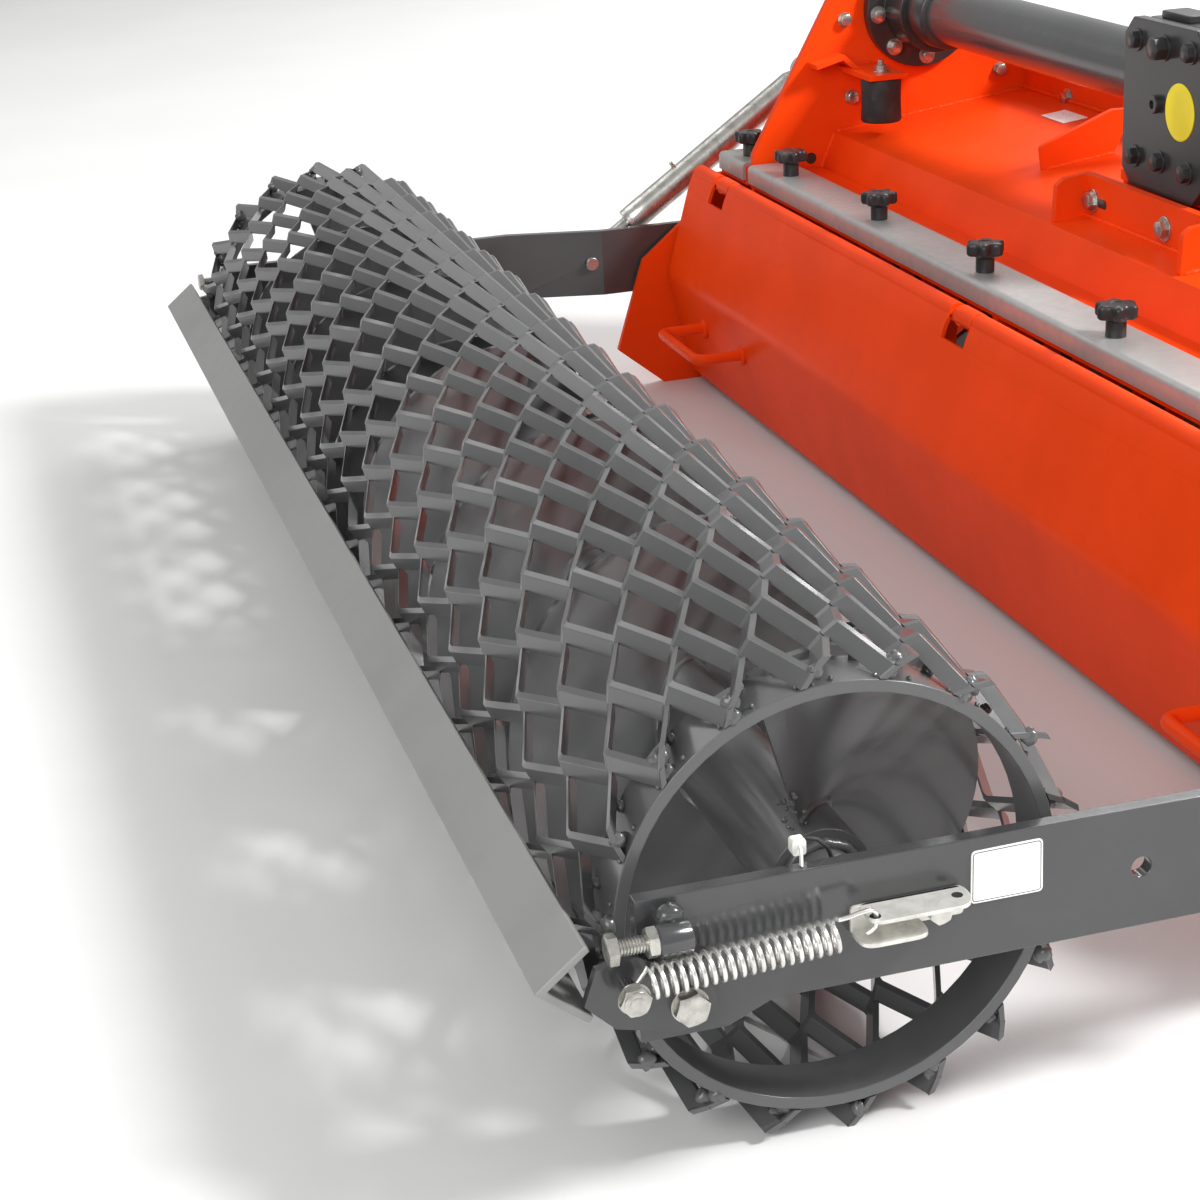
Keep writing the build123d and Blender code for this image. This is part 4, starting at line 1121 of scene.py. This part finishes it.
@dataclass
class RollerArms:
    """Side arms with their bearings, link pins and a blank plate."""

    link_ahead: float = 322.0
    axle_z: float = 157.5
    bearing_ring: float = 25.0

    def plate(self) -> None:
        """Blank sign plate with a dark border on the right arm."""
        corners = [(71.3, 155.0), (71.6, 189.2), (117.2, 189.8), (117.5, 155.0)]
        face = side_plate(rounded(corners, 3.0), ARM_FACE / MM + 0.00002)
        Shell().prism(face, AXIS_X * 0.0009).piece("arm_plate", PLATE_WHITE,
                                                   Body.ROLLER_FRAME, "dark_grey")
        inner = rounded([(72.5, 156.2), (72.8, 188.0), (116.0, 188.6), (116.3, 156.2)], 2.2)
        path = side_plate(inner, ARM_FACE / MM + 0.00085)
        border = Shell().sweep(path, circle(0.0003, 6), AXIS_X, closed=True)
        border.piece("arm_plate_border", BORDER_AND_HOLE_SHADE, Body.ROLLER_FRAME, "dark_grey")

    def fasteners(self) -> None:
        """Bearing bolts on both arms, and washers round their link pins."""
        shell = Shell()
        for k in range(3):
            angle = math.radians(90 + 120 * k)
            spot = point(830.2, self.bearing_ring * math.cos(angle),
                         self.axle_z + self.bearing_ring * math.sin(angle))
            bolt(shell, spot, -AXIS_X, BEARING_HEAD, 0.2 * k)
        link = point(819.4, self.link_ahead, self.axle_z)
        shell.spin([(0, 0.0135), (0.0022, 0.0135), (0.0026, 0.013)], link, AXIS_X)
        pin = point(863, self.link_ahead, self.axle_z)
        shell.spin([(-0.0045, 0.0125), (-0.0026, 0.0125), (-0.0022, 0.012)], pin, AXIS_X)
        shell.piece("arm_fasteners", ZINC, Body.ROLLER_FRAME, "zinc", pair=True)

    def tie(self) -> None:
        """Pale cable tie round the right bearing's grease pipe, with its cut tail."""
        shell = Shell()
        head = rounded([(-33.0, 198.5), (-33.0, 208.5), (-24.5, 208.5), (-24.5, 198.5)], 2.0)
        shell.prism(side_plate(head, 0.8290), AXIS_X * 0.0070)
        tail = np.array([point(836, -29, 204), point(840, -30, 206), point(844.5, -31, 206),
                         point(847, -31.8, 203.5), point(847.5, -32, 198.0)])
        shell.sweep(tail, np.array([(-0.0016, -0.0006), (0.0016, -0.0006), (0.0016, 0.0006),
                                    (-0.0016, 0.0006)]), AXIS_Y)
        shell.piece("cable_tie", TIE_NYLON, Body.ROLLER_FRAME, "dark_grey")
        wire = np.array([point(832, -29, 206), point(833, -23, 207.5), point(834, -17, 206),
                         point(834.5, -11, 200), point(835, -8, 191), point(835, -7, 180)])
        Shell().sweep(wire, circle(0.0013, 8), AXIS_X).piece(
            "grease_pipe", RUBBER_AND_HOLE_SHADE, Body.ROLLER_FRAME, "dark_grey", crease=60)

    def build(self) -> None:
        """Dress both arms."""
        self.plate()
        self.fasteners()
        self.tie()


@dataclass
class ScraperGear:
    """Sprung scraper: coil springs, spring clips, stop screws, barrels, pivots and the bar."""

    spring_x: float = 871.0
    wire: float = 1.5
    coil_r: float = 9.3
    turns: float = 20.0
    rear: tuple[float, float] = (-132.7, 156.0)
    front: tuple[float, float] = (-18.0, 163.0)
    hook: tuple[float, float] = (-142.8, 149.0)
    hook_r: float = 6.6
    stop_x: float = 866.0
    stop_z: float = 178.0
    stop_head: float = -150.0
    barrel_rear: float = -126.0
    pivot: tuple[float, float] = (-106.0, 129.0)

    def spring(self, side: int) -> Shell:
        """One tension spring.

        The wire is a helix about the straight line between its ends: the axis point plus the coil
        radius times the cosine and sine of the turn angle. The rear end runs into an arc round the
        hook bolt, and the front end over and down through the hole of its clip.

        Args:
            side: 1 for the right-hand spring, -1 for the left-hand one.

        Returns:
            The spring as a shell.
        """
        start = point(side * self.spring_x, *self.rear)
        end = point(side * self.spring_x, *self.front)
        axis = (end - start) / np.linalg.norm(end - start)
        out, up = across(axis)
        share = np.linspace(0, 1, int(self.turns * 16) + 1)[:, None]
        turn = share * self.turns * TURN
        body = start + share * (end - start) + self.coil_r / MM * (np.cos(turn) * up
                                                                     + np.sin(turn) * out)
        bend = np.radians(np.linspace(-30, -285, 16))
        loop = np.stack([np.full(16, self.spring_x * side / MM),
                         forward(self.hook[0]) + self.hook_r / MM * np.cos(bend),
                         (self.hook[1] + self.hook_r * np.sin(bend)) / MM], axis=1)
        ahead = np.array([-12.0, -6.0, -1.0, 2.5, 4.6, 5.2, 4.6, 2.4, -0.6])
        high = np.array([172.6, 173.6, 174.2, 173.4, 170.8, 166.5, 162.4, 159.6, 158.2])
        eye = np.stack([side * (self.spring_x - np.linspace(0.5, 3.0, 9)) / MM,
                        ROLLER_Y + ahead / MM, high / MM], axis=1)
        path = np.concatenate([loop, body, eye])
        reference = np.broadcast_to(axis, path.shape).copy()
        reference[:16] = -out
        reference[-9:] = -out
        return Shell().sweep(path, circle(self.wire / MM, 8), reference)

    def springs(self) -> None:
        """Both springs, stretching between the arms and the scraper."""
        for side, name in ((1, "spring_right"), (-1, "spring_left")):
            shell = self.spring(side)
            shown = shell.piece(name, SPRING_STEEL, None, "zinc", crease=60)
            tuple(point(0, -10, 164))
            tuple(point(0, -134, 155))
            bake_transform(shown)
            if side == 1:
                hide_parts("scraper_springs")

    def clips(self) -> None:
        """Folded spring clips: a channel on the arm whose upper leg holds the hook."""
        shell = Shell()
        upper = rounded([(0, 0), (66, 0), (66, 15), (60, 24), (4, 24), (0, 19)], 6.0, 6)
        lower = rounded([(-5, 0), (38, 0), (38, 17), (33, 22), (0, 22), (-5, 17)], 6.0, 6)
        for outline, height in ((upper, 166.5), (lower, 151.0)):
            shell.prism(level(outline[:, ::-1] + (ARM_FACE, 0.0), height), AXIS_Z * 0.0025)
        web = side_plate(rounded([(-5, 151), (66, 151), (66, 169), (-5, 169)], 3.0), ARM_FACE / MM)
        shell.prism(web, AXIS_X * 0.0025)
        shell.piece("spring_clips", CLIP_ZINC, Body.ROLLER_FRAME, "zinc", bevel=0.0004, pair=True,
                    stands_for="spring_hangers")
        # Dark discs on the clips and the arm: painted shade of their holes.
        dark = Shell()
        for ahead, across_x in ((4.4, 869.0), (58.0, 863.0)):
            painted_hole_shade(dark, point(across_x, ahead, 169.02), AXIS_Z, 0.0034)
        for ahead in (12.0, 37.0):
            painted_hole_shade(dark, point(854.52, ahead, 160.5), AXIS_X, 0.0032)
        painted_hole_shade(dark, point(852.02, -97.4, 157.0), AXIS_X, 0.0052, 24)
        dark.piece("clip_hole_shade", RUBBER_AND_HOLE_SHADE, Body.ROLLER_FRAME, "black_rubber", pair=True)
        lump = Shell().hexed(CLIP_NUT.flats, 0.0, CLIP_NUT.height, point(854.3, 49, 157.5), AXIS_X,
                             turn=0.2)
        lump.piece("clip_nuts", CLIP_ZINC, Body.ROLLER_FRAME, "zinc", pair=True)

    def stops(self) -> None:
        """Threaded stop screws with lock nuts in the arms' barrels."""
        shell = Shell()
        head = point(self.stop_x, self.stop_head, self.stop_z)
        bolt(shell, head, -AXIS_Y, STOP_HEAD, 0.35)
        shell.thread(0.005, 0.0, 0.040, 0.0019, head, AXIS_Y)
        shell.hexed(STOP_HEAD.flats, 0.0175, 0.0245, head, AXIS_Y, both=True, turn=0.15)
        shell.piece("stop_screws", ZINC, Body.ROLLER_FRAME, "zinc", pair=True,
                    stands_for="stop_bolts")
        barrel = Shell()
        barrel.spin([(0, 0.0088), (0.0008, 0.0099), (0.0192, 0.0099), (0.02, 0.0092)],
                    point(self.stop_x, self.barrel_rear, self.stop_z), AXIS_Y, 40)
        saddle = rounded([(-124.5, 172), (-124.5, 191), (-113, 194), (-107, 186), (-105, 172)],
                         5.0, 6)
        barrel.prism(side_plate(saddle, ARM_FACE / MM), AXIS_X * 0.013)
        barrel.lump(point(858.5, -116, 190), (0.0075, 0.0085, 0.0060), 3, 0.1)
        for k, ahead in enumerate((-119, -113, -107)):
            barrel.lump(point(862, ahead, 168.2), (0.0009, 0.0009, 0.0011), k, 0.1)
        barrel.piece("stop_barrels", ARM_GREY, Body.ROLLER_FRAME, "dark_grey", crease=50, pair=True)

    def pivots(self) -> None:
        """Hex pivot bolts on the arms and self-locking nuts that hold the hooks."""
        shell = Shell()
        centre = point(858.6, *self.pivot)
        bolt(shell, centre, AXIS_X, PIVOT_HEAD, 0.3)
        shell.piece("pivot_bolts", ZINC, Body.ROLLER_FRAME, "zinc", pair=True,
                    stands_for="scraper_pivot_bolts")
        hook = Shell()
        root = point(858.2, *self.hook)
        hook.spin([(0, 0.005), (0.0156, 0.005)], root, AXIS_X)
        hook.spin([(0.0152, 0.0098), (0.0162, 0.0098)], root, AXIS_X)
        hook.hexed(0.0165, 0.0162, 0.0214, root, AXIS_X, turn=0.4)
        hook.spin([(0.0210, 0.0076), (0.0226, 0.0076), (0.0231, 0.0066)], root, AXIS_X)
        hook.spin([(0.0225, 0.0046), (0.0234, 0.0046), (0.0236, 0.0042)], root, AXIS_X)
        hook.piece("hook_bolts", ZINC, Body.SCRAPER, "zinc", pair=True)

    def build(self) -> None:
        """Build all of the scraper's gear."""
        self.springs()
        self.clips()
        self.stops()
        self.pivots()


@dataclass
class Hood:
    """Hood: deck, walls, clamp strips with star knobs, welds and small bolts."""

    knob_r: float = 16.8
    knob_lobe: float = 2.5
    knob_steps: int = 72
    knob_ahead: float = 510.0
    knob_z: float = 284.2
    left_end: float = -791.0
    gap: float = -695.0
    gap_half: float = 9.0
    right_end: float = 791.0
    knob_xs: tuple[float, ...] = (-745.0, -606.0, -341.0, -77.0, 188.0, 453.0, 718.0)

    def knobs(self) -> None:
        """Moulded star knobs.

        The head's radius at an angle is 16.8 mm plus 2.5 mm times the sixth harmonic, flattened
        by a root so that the lobes are broad; rings step in at the top for its dome.
        """
        angle = np.linspace(0, TURN, self.knob_steps, endpoint=False)
        wave = np.cos(6 * angle)
        radius = self.knob_r + self.knob_lobe * np.sign(wave) * np.abs(wave) ** 0.6
        rows = [(9.0, 0.0, 0.0), (9.0, 0.0, 13.5), (11.5, 0.0, 16.0), (0.0, 0.90, 16.6),
                (0.0, 0.985, 18.2), (0.0, 1.0, 20.0), (0.0, 1.0, 25.5), (0.0, 0.975, 27.6),
                (0.0, 0.90, 28.8), (7.2, 0.0, 29.0), (6.4, 0.0, 28.2)]
        rings = []
        for fixed, share, height in rows:
            ring_r = fixed + share * radius
            rings.append(np.stack([ring_r * np.cos(angle), ring_r * np.sin(angle),
                                   np.full(self.knob_steps, height)], axis=1) / MM)
        stack = np.stack(rings)
        shell = Shell()
        for x in self.knob_xs:
            turn = x * 0.7
            spin = np.array([[math.cos(turn), -math.sin(turn), 0],
                             [math.sin(turn), math.cos(turn), 0], [0, 0, 1]])
            shell.tube(stack @ spin.T + point(x, self.knob_ahead, self.knob_z))
        shell.piece("knobs", KNOB_PLASTIC, Body.HOOD, "black_plastic", crease=40,
                    stands_for="star_knobs")

    def strips(self) -> None:
        """Clamp strips with a folded lip, and the raised edge of the ledge they lie on."""
        section = folded([(487, 263.5), (487, 282), (537, 282)], 4.0, 4.5)
        pad = np.array([(489.5, 262.1), (489.5, 279.9), (536, 279.9), (536, 272.5), (580, 272.5),
                        (580, 262.1)])
        shell = Shell()
        base = Shell()
        for low, high in ((self.left_end, self.gap - self.gap_half),
                          (self.gap + self.gap_half, self.right_end)):
            width = AXIS_X * (high - low) / MM
            shell.prism(side_plate(section, low / MM), width)
            base.prism(side_plate(pad, low / MM), width)
        shell.piece("strips", STRIP, Body.HOOD, "steel_grey", crease=25, stands_for="clamp_strips")
        base.piece("ledge_edge", RED, Body.HOOD, "red")

    def welds(self) -> None:
        """Beads along the deck's folds, walls, cheeks and cradle."""
        shell = Shell()
        right = 794.5
        wall = -689.0
        beads = [((wall, 579, 270), (wall, 598, 312.5)), ((wall, 600, 313), (wall, 842, 342)),
                 ((right, 579, 270), (right, 598, 312.5)), ((right, 600, 313), (right, 842, 342)),
                 ((-128, 607, 313.5), (-128, 645, 318)), ((128, 607, 313.5), (128, 645, 318)),
                 ((-127, 637.0, 317.5), (127, 637.0, 317.5)),
                 ((-310.5, 688, 323.5), (-310.5, 768, 333.2)),
                 ((310.5, 688, 323.5), (310.5, 768, 333.2)),
                 ((wall + 2, 844, 343.5), (right - 2, 844, 343.5))]
        for seed, (a, b) in enumerate(beads):
            shell.bead(point(*a), point(*b), 0.0026, seed)
        for seed, z in enumerate((384, 390.5)):
            shell.bead(point(-689.3, 611, z), point(-689.3, 645, z), 0.002, seed + 20)
        shell.piece("hood_welds", RED, Body.HOOD, "red", crease=70)

    def cradle(self) -> None:
        """Channel across the deck, shelf under the gearbox, and gussets farther out."""
        shell = Shell()
        flange = rounded([(604, 312.2), (606, 349), (614, 355), (646, 358.5), (646, 317.2)], 2.0)
        carrier = rounded([(668, 319.8), (668, 353.5), (812, 353.5), (812, 337.3)], 1.0)
        gusset = rounded([(685.7, 322.0), (682.6, 346.8), (688, 349.5), (766, 379.0),
                          (786, 378.5), (785, 366), (768, 332.3)], 3.0)
        for side in (-1, 1):
            for outline, x, thick in ((flange, 128.0, 8.0), (carrier, 102.0, 8.0),
                                      (gusset, 319.6, 8.0)):
                shell.prism(side_plate(outline, side * x / MM), AXIS_X * -side * thick / MM)
        web = np.array([(638, 316.5), (638, 357.8), (646, 358.5), (646, 317.3)])
        shell.prism(side_plate(web, -0.1205), AXIS_X * 0.241)
        shelf = np.array([(665, 353.0), (665, 362.7), (815, 362.7), (815, 353.0)])
        shell.prism(side_plate(shelf, -0.102), AXIS_X * 0.204)
        shell.piece("cradle", RED, Body.HOOD, "red", crease=25, bevel=0.0009,
                    stands_for="gearbox_cradle")

    def bolts(self) -> None:
        """Small bolts of the drive wall, beam and cradle."""
        shell = Shell()
        for x in (-106, 37):
            bolt(shell, point(x, 638, 333.5), -AXIS_Y, CHANNEL_HEAD, x)
        for x in (-600, -200, 200, 600):
            bolt(shell, point(x, 880, 406), AXIS_Z, BEAM_TOP_HEAD, x)
        bolt(shell, point(-573, 845, 346), -AXIS_Y, BEAM_REAR_HEAD, 0.3)
        for ahead, height in ((612, 443), (650, 510), (742, 510), (800, 440), (812, 367),
                              (620, 352)):
            bolt(shell, point(-690, ahead, height), AXIS_X, WALL_HEAD, ahead)
        shell.piece("hood_bolts", ZINC, Body.HOOD, "zinc")

    def holes(self) -> None:
        """Painted shade of the channel's slot and the drive wall's hole as dark flat shapes, and
        the blank plate on the deck.
        """
        # Dark slot and disc: painted shade where the openings show dark.
        dark = Shell()
        slot = rounded([(-97, 329.0), (-97, 338.0), (-78, 338.0), (-78, 329.0)], 4.2)
        flat = np.stack([slot[:, 0] / MM, np.full(len(slot), forward(637.98)),
                         slot[:, 1] / MM], axis=1)
        dark.prism(flat, -AXIS_Y * 0.0001)
        painted_hole_shade(dark, point(-689.98, 567, 284), AXIS_X, 0.0068, 24)
        dark.piece("hood_hole_shade", BORDER_AND_HOLE_SHADE, Body.HOOD, "red")
        plate = np.stack([[-0.535, -0.478, -0.478, -0.535],
                          [forward(792), forward(792), forward(822), forward(822)],
                          [0.3361, 0.3361, 0.3396, 0.3396]], axis=1)
        Shell().prism(plate, AXIS_Z * 0.0007).piece("deck_plate", PLATE_WHITE, Body.HOOD,
                                                    "red")

    def build(self) -> None:
        """Dress the hood."""
        self.strips()
        self.cradle()
        self.holes()
        self.knobs()
        self.welds()
        self.bolts()


@dataclass
class RearDoor:
    """Folded rear door with its rolled hinge segments and two U handles."""

    handle_xs: tuple[float, ...] = (-613.0, 613.0)
    handle_half: float = 68.0
    handle_z: float = 95.0
    handle_tip: float = 367.0
    handle_foot: float = 427.0
    half: float = 789.0
    notches: tuple[float, ...] = (-695.0, -11.5, 672.0)
    notch_left: float = 16.5
    notch_right: float = 33.5
    hinge: tuple[float, float] = (460.0, 261.0)

    def sleeve(self, shell: Shell, start: float, end: float, radius: float, edge: float) -> None:
        """A sleeve with rounded ends on the hinge's line.

        Args:
            shell: What takes it.
            start: Its left end in millimetres.
            end: Its right end in millimetres.
            radius: Its radius in metres.
            edge: Width and depth of its rounded ends, in metres.
        """
        width = (end - start) / MM
        shell.spin([(0, radius - edge), (edge, radius), (width - edge, radius),
                    (width, radius - edge)], point(start, *self.hinge), AXIS_X, 32)

    def panel(self) -> None:
        """The bent panel, its upper edge and curl left open round the hinge's lugs."""
        shell = Shell()
        low = folded([(443.9, 239), (415, 141), (443, 14)], 4.0, 9.0)
        shell.prism(side_plate(low, -self.half / MM), AXIS_X * 2 * self.half / MM)
        edges = [-self.half]
        for notch in self.notches:
            edges.extend([notch - self.notch_left, notch + self.notch_right])
        edges.append(self.half)
        high = folded([(443.9, 239), (447.5, 250), (452, 260)], 4.0, 3.0, 3)
        for start, end in zip(edges[::2], edges[1::2]):
            shell.prism(side_plate(high, start / MM), AXIS_X * (end - start) / MM)
            self.sleeve(shell, start, end, 0.0095, 0.0007)
        shell.piece("door_panel", RED, Body.DOOR, "red", crease=25, stands_for="rear_door")

    def knuckles(self) -> None:
        """Short sleeves on the hood's lugs, in the gaps of the door's curl."""
        shell = Shell()
        for notch in self.notches:
            self.sleeve(shell, notch - 6.5, notch + self.notch_right - 1.5, 0.0100, 0.0008)
        shell.piece("hinge_knuckles", RED, Body.HOOD, "red")

    def handles(self) -> None:
        """Round bars bent to a U, with small welded ears at their feet."""
        bars = Shell()
        ears = Shell()
        for x in self.handle_xs:
            half = self.handle_half
            tip, foot_at = self.handle_tip, self.handle_foot
            line = rounded([(x - half, foot_at), (x - half, tip), (x + half, tip),
                            (x + half, foot_at)], 14.0, 7)
            line = np.concatenate([[(x - half, foot_at)], line[7:21], [(x + half, foot_at)]])
            bars.sweep(level(line, self.handle_z), circle(0.0062, 16), AXIS_Z)
            for foot in (-half, half):
                ears.lump(point(x + foot, 422.5, self.handle_z), (0.0085, 0.0045, 0.0125),
                          int(x + foot) % 97, 0.1)
        bars.piece("handle_bars", RED, Body.DOOR, "red", crease=50, stands_for="door_handles")
        ears.piece("handle_welds", RED, Body.DOOR, "red", crease=60)

    def build(self) -> None:
        """Build the door."""
        self.panel()
        self.knuckles()
        self.handles()


@dataclass
class Driveline:
    """Gearbox, drive tube with its flange, bumper and input shaft."""

    gear_rear: float = 651.0
    gear_z: float = 452.0
    cover_z: float = 436.0
    tube_ahead: float = 706.0
    flange_x: float = -676.0
    bolt_ring: float = 57.0
    bumper: tuple[float, float, float] = (-618.0, 628.0, 334.0)
    tab_top: float = 390.3

    def gearbox(self) -> None:
        """Cover bolts, filler disc and the machined top of the gearbox."""
        shell = Shell()
        face = -AXIS_Y
        for x, height in ((-50, 494.5), (50, 494.5), (-49, 386), (-1, 388), (50, 386)):
            bolt(shell, point(x, self.gear_rear, height), face, COVER_HEAD, x * 0.1)
        bolt(shell, point(1, self.gear_rear, 493), face, COVER_PLUG_HEAD, 0.5)
        shell.piece("cover_bolts", BLACK, Body.HOOD, "black_iron")
        plug = Shell()
        plug.spin([(-0.001, 0.0085), (0.005, 0.0085), (0.0057, 0.0078), (0.0057, 0.0042),
                   (0.0022, 0.0040), (0.0022, 0.0)], point(-9.4, self.gear_rear, 440.5), face, 36)
        plug.piece("cover_plug", BLACK, Body.HOOD, "black_iron")
        disc = Shell().spin([(-0.0005, 0.0262), (0.0006, 0.0262), (0.0008, 0.0258),
                             (0.0008, 0.0245), (0.0006, 0.0243), (0.0006, 0.0)],
                            point(33.5, self.gear_rear, self.cover_z + 3), face, 56)
        disc.piece("filler_disc", YELLOW, Body.HOOD, "black_iron")
        block = Shell()
        for outline, low, rise in (((-60, 668, 60, 778), 508.6, 5.0),
                                   ((-46, 672, 8, 700), 513.4, 7.0)):
            x0, y0, x1, y1 = outline
            top = rounded([(x0, y0), (x0, y1), (x1, y1), (x1, y0)], 4.0)
            block.prism(level(top, low), AXIS_Z * rise / MM)
        block.piece("gearbox_top", BLACK, Body.HOOD, "black_iron", bevel=0.0012)

    def flange(self) -> None:
        """Ring of bolts on the drive flange, and the tube's collars and sleeve."""
        shell = Shell()
        for k in range(8):
            angle = math.radians(5 + 45 * k)
            spot = point(self.flange_x, self.tube_ahead + self.bolt_ring * math.cos(angle),
                         self.gear_z + self.bolt_ring * math.sin(angle))
            bolt(shell, spot, AXIS_X, FLANGE_HEAD, k * 0.3)
        shell.piece("flange_bolts", ZINC, Body.HOOD, "zinc")
        collar = Shell()
        angle = np.linspace(0, TURN, 64, endpoint=False)
        for x, radius, thick in ((-629.5, 35.5, 3.0), (-77, 36.0, 3.0)):
            ring = np.stack([np.full(64, x / MM),
                             forward(self.tube_ahead) + radius / MM * np.cos(angle),
                             (self.gear_z + radius * np.sin(angle)) / MM], axis=1)
            collar.sweep(ring, circle(thick / MM, 8), AXIS_X, closed=True)
        collar.spin([(0.0, 0.0385), (0.0, 0.0405), (0.040, 0.0405), (0.042, 0.0385)],
                    point(-632, self.tube_ahead, self.gear_z), AXIS_X, 48)
        collar.piece("tube_collars", BLACK, Body.HOOD, "black_iron", crease=60)

    def stop(self) -> None:
        """Rubber stop with its stud and nut above the tab."""
        shell = Shell()
        shell.spin([(0, 0.0222), (0.0022, 0.0238), (0.018, 0.0230), (0.034, 0.0230),
                    (0.0478, 0.0238), (0.05, 0.0226)], point(*self.bumper), AXIS_Z, 48)
        shell.piece("bumper", RUBBER_AND_HOLE_SHADE, Body.HOOD, "black_rubber", crease=50,
                    stands_for="rubber_bumper")
        stud = Shell()
        nut(stud, point(*self.bumper[:2], self.tab_top), AXIS_Z, BUMPER_NUT, 0.004, 0.006)
        stud.piece("bumper_nut", ZINC, Body.HOOD, "zinc")

    def build(self) -> None:
        """Dress the driveline."""
        self.gearbox()
        self.flange()
        self.stop()


@dataclass
class DepthStruts:
    """Screw struts between the arms and the hood."""

    x: float = 843.0
    top: tuple[float, float] = (622.0, 362.0)
    foot: tuple[float, float] = (322.0, 157.5)
    nipple: tuple[float, float] = (442.0, 261.0)
    tube_r: float = 0.0172
    rod_share: float = 0.070

    def build(self) -> None:
        """Lock nuts, tapered ends and grease nipples on the struts' tubes."""
        top = point(self.x, *self.top)
        foot = point(self.x, *self.foot)
        axis = (foot - top) / np.linalg.norm(foot - top)
        length = float(np.linalg.norm(foot - top))
        for side, body in ((1, Body.STRUT_TUBE_RIGHT), (-1, Body.STRUT_TUBE_LEFT)):
            shell = Shell()
            end = length - self.rod_share
            shell.spin([(0.012, 0.0125), (0.024, 0.0165), (0.027, self.tube_r),
                        (0.034, self.tube_r)], top, axis)
            shell.spin([(end - 0.0300, self.tube_r), (end - 0.006, self.tube_r),
                        (end + 0.0005, 0.0150)], top, axis)
            nipple = point(self.x, *self.nipple)
            up = across(axis)[1]
            base = top + axis * (np.dot(nipple - top, axis)) + up * 0.0165
            shell.spin([(0, 0.0032), (0.003, 0.0032), (0.0034, 0.0022), (0.0052, 0.0022),
                        (0.0068, 0.0028), (0.008, 0.0014)], base, up, 14)
            if side < 0:
                shell = shell.mirror()
            shell.piece(body.value + "_trim", ZINC, body, "zinc", crease=50)


@dataclass
class Studio:
    """Pale floor, soft lamps and the camera at the photograph's angle."""

    lens: float = 72.0
    place: tuple[float, float, float] = (2.002, -0.880, 0.843)
    right: tuple[float, float, float] = (0.2812, 0.9583, -0.0509)
    down: tuple[float, float, float] = (0.3338, -0.1474, -0.9310)
    ahead: tuple[float, float, float] = (-0.8997, 0.2448, -0.3614)
    sky: float = 0.5
    lamps: tuple[tuple, ...] = (
        ("key", (1.9, 3.0, 3.4), (0.2, -0.2, 0.2), 0.8, 280),
        ("fill", (3.2, -2.8, 2.2), (0.2, -0.2, 0.2), 2.4, 88),
        ("side", (-2.6, -2.2, 3.0), (0, 0.0, 0.2), 2.5, 30),
        ("back", (-3.5, 3.6, 4.0), (-3.3, 3.8, 0.0), 3.0, 240),
    )

    def stand(self, name: str, data: Any, turn: Array, place: Sequence[float]) -> bpy.types.Object:
        """A new camera or lamp at a place.

        Args:
            name: Its name.
            data: The camera or lamp.
            turn: Its three directions as columns.
            place: Where it stands.

        Returns:
            The object.
        """
        shown = linked(name, data)
        top = np.hstack([turn, np.array(place, float)[:, None]])
        shown.matrix_world = Matrix(np.vstack([top, [0, 0, 0, 1]]).tolist())
        return shown

    def camera(self) -> None:
        """Set the camera from its three directions."""
        data = bpy.data.cameras.new("camera")
        data.lens = self.lens
        data.sensor_width = 36.0
        turn = np.stack([self.right, -np.array(self.down), -np.array(self.ahead)], axis=1)
        left, _, right = np.linalg.svd(turn)
        bpy.context.scene.camera = self.stand("camera", data, left @ right, self.place)

    def floor(self) -> None:
        """Large pale ground plane."""
        corners = np.array([(-30, -30, 0), (30, -30, 0), (30, 30, 0), (-30, 30, 0)], float)
        mesh = bpy.data.meshes.new("floor")
        mesh.from_pydata(corners.tolist(), [], [[0, 1, 2, 3]])
        g = Graph("floor_pale")
        tone = g.noise(g.place(), 2.0, 2.0)
        g.drive(Base_Color=g.blend(tone.ramp(0.3, 0.7), rgb(0.73, 0.73, 0.725),
                                   rgb(0.75, 0.75, 0.745)),
                Roughness=0.9, Specular_IOR_Level=0.1)
        mesh.materials.append(g.material)
        linked("floor", mesh)

    def lamp(self, name: str, place: Sequence[float], target: Sequence[float], size: float,
             power: float) -> None:
        """One square area lamp.

        Args:
            name: Its name.
            place: Where it stands.
            target: What it points at.
            size: Side in metres.
            power: Watts.
        """
        data = bpy.data.lights.new(name, "AREA")
        data.size = size
        data.energy = power
        ray = np.array(target, float) - np.array(place, float)
        ray = ray / np.linalg.norm(ray)
        side = across(ray)[0]
        self.stand(name, data, np.stack([side, np.cross(-ray, side), -ray], axis=1), place)

    def light(self) -> None:
        """Set the lamps and an even sky."""
        for lamp in self.lamps:
            self.lamp(*lamp)
        world = bpy.data.worlds.new("sky")
        world.use_nodes = True
        bpy.context.scene.world = world
        tree = world.node_tree
        tree.nodes.clear()
        back = tree.nodes.new("ShaderNodeBackground")
        back.inputs["Color"].default_value = rgb(1.0, 1.0, 1.0)
        back.inputs["Strength"].default_value = self.sky
        out = tree.nodes.new("ShaderNodeOutputWorld")
        tree.links.new(back.outputs[0], out.inputs[0])
        bpy.context.scene.view_settings.view_transform = "Standard"

    def build(self) -> None:
        """Make the stage."""
        self.camera()
        self.floor()
        self.light()


def main() -> None:
    """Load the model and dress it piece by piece."""
    logging.basicConfig(level=logging.INFO, format="%(message)s")
    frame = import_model()
    machine = Machine(frame)
    for finish, width, nodes in DRESSING:
        for node in nodes:
            machine.soften(node, finish, width)
    for part in (CageRoller(), RollerArms(), ScraperGear(), Hood(), RearDoor(), Driveline(),
                 DepthStruts()):
        part.build()
        LOG.info("built %s", type(part).__name__)
    Studio().build()


if __name__ == "__main__":
    main()
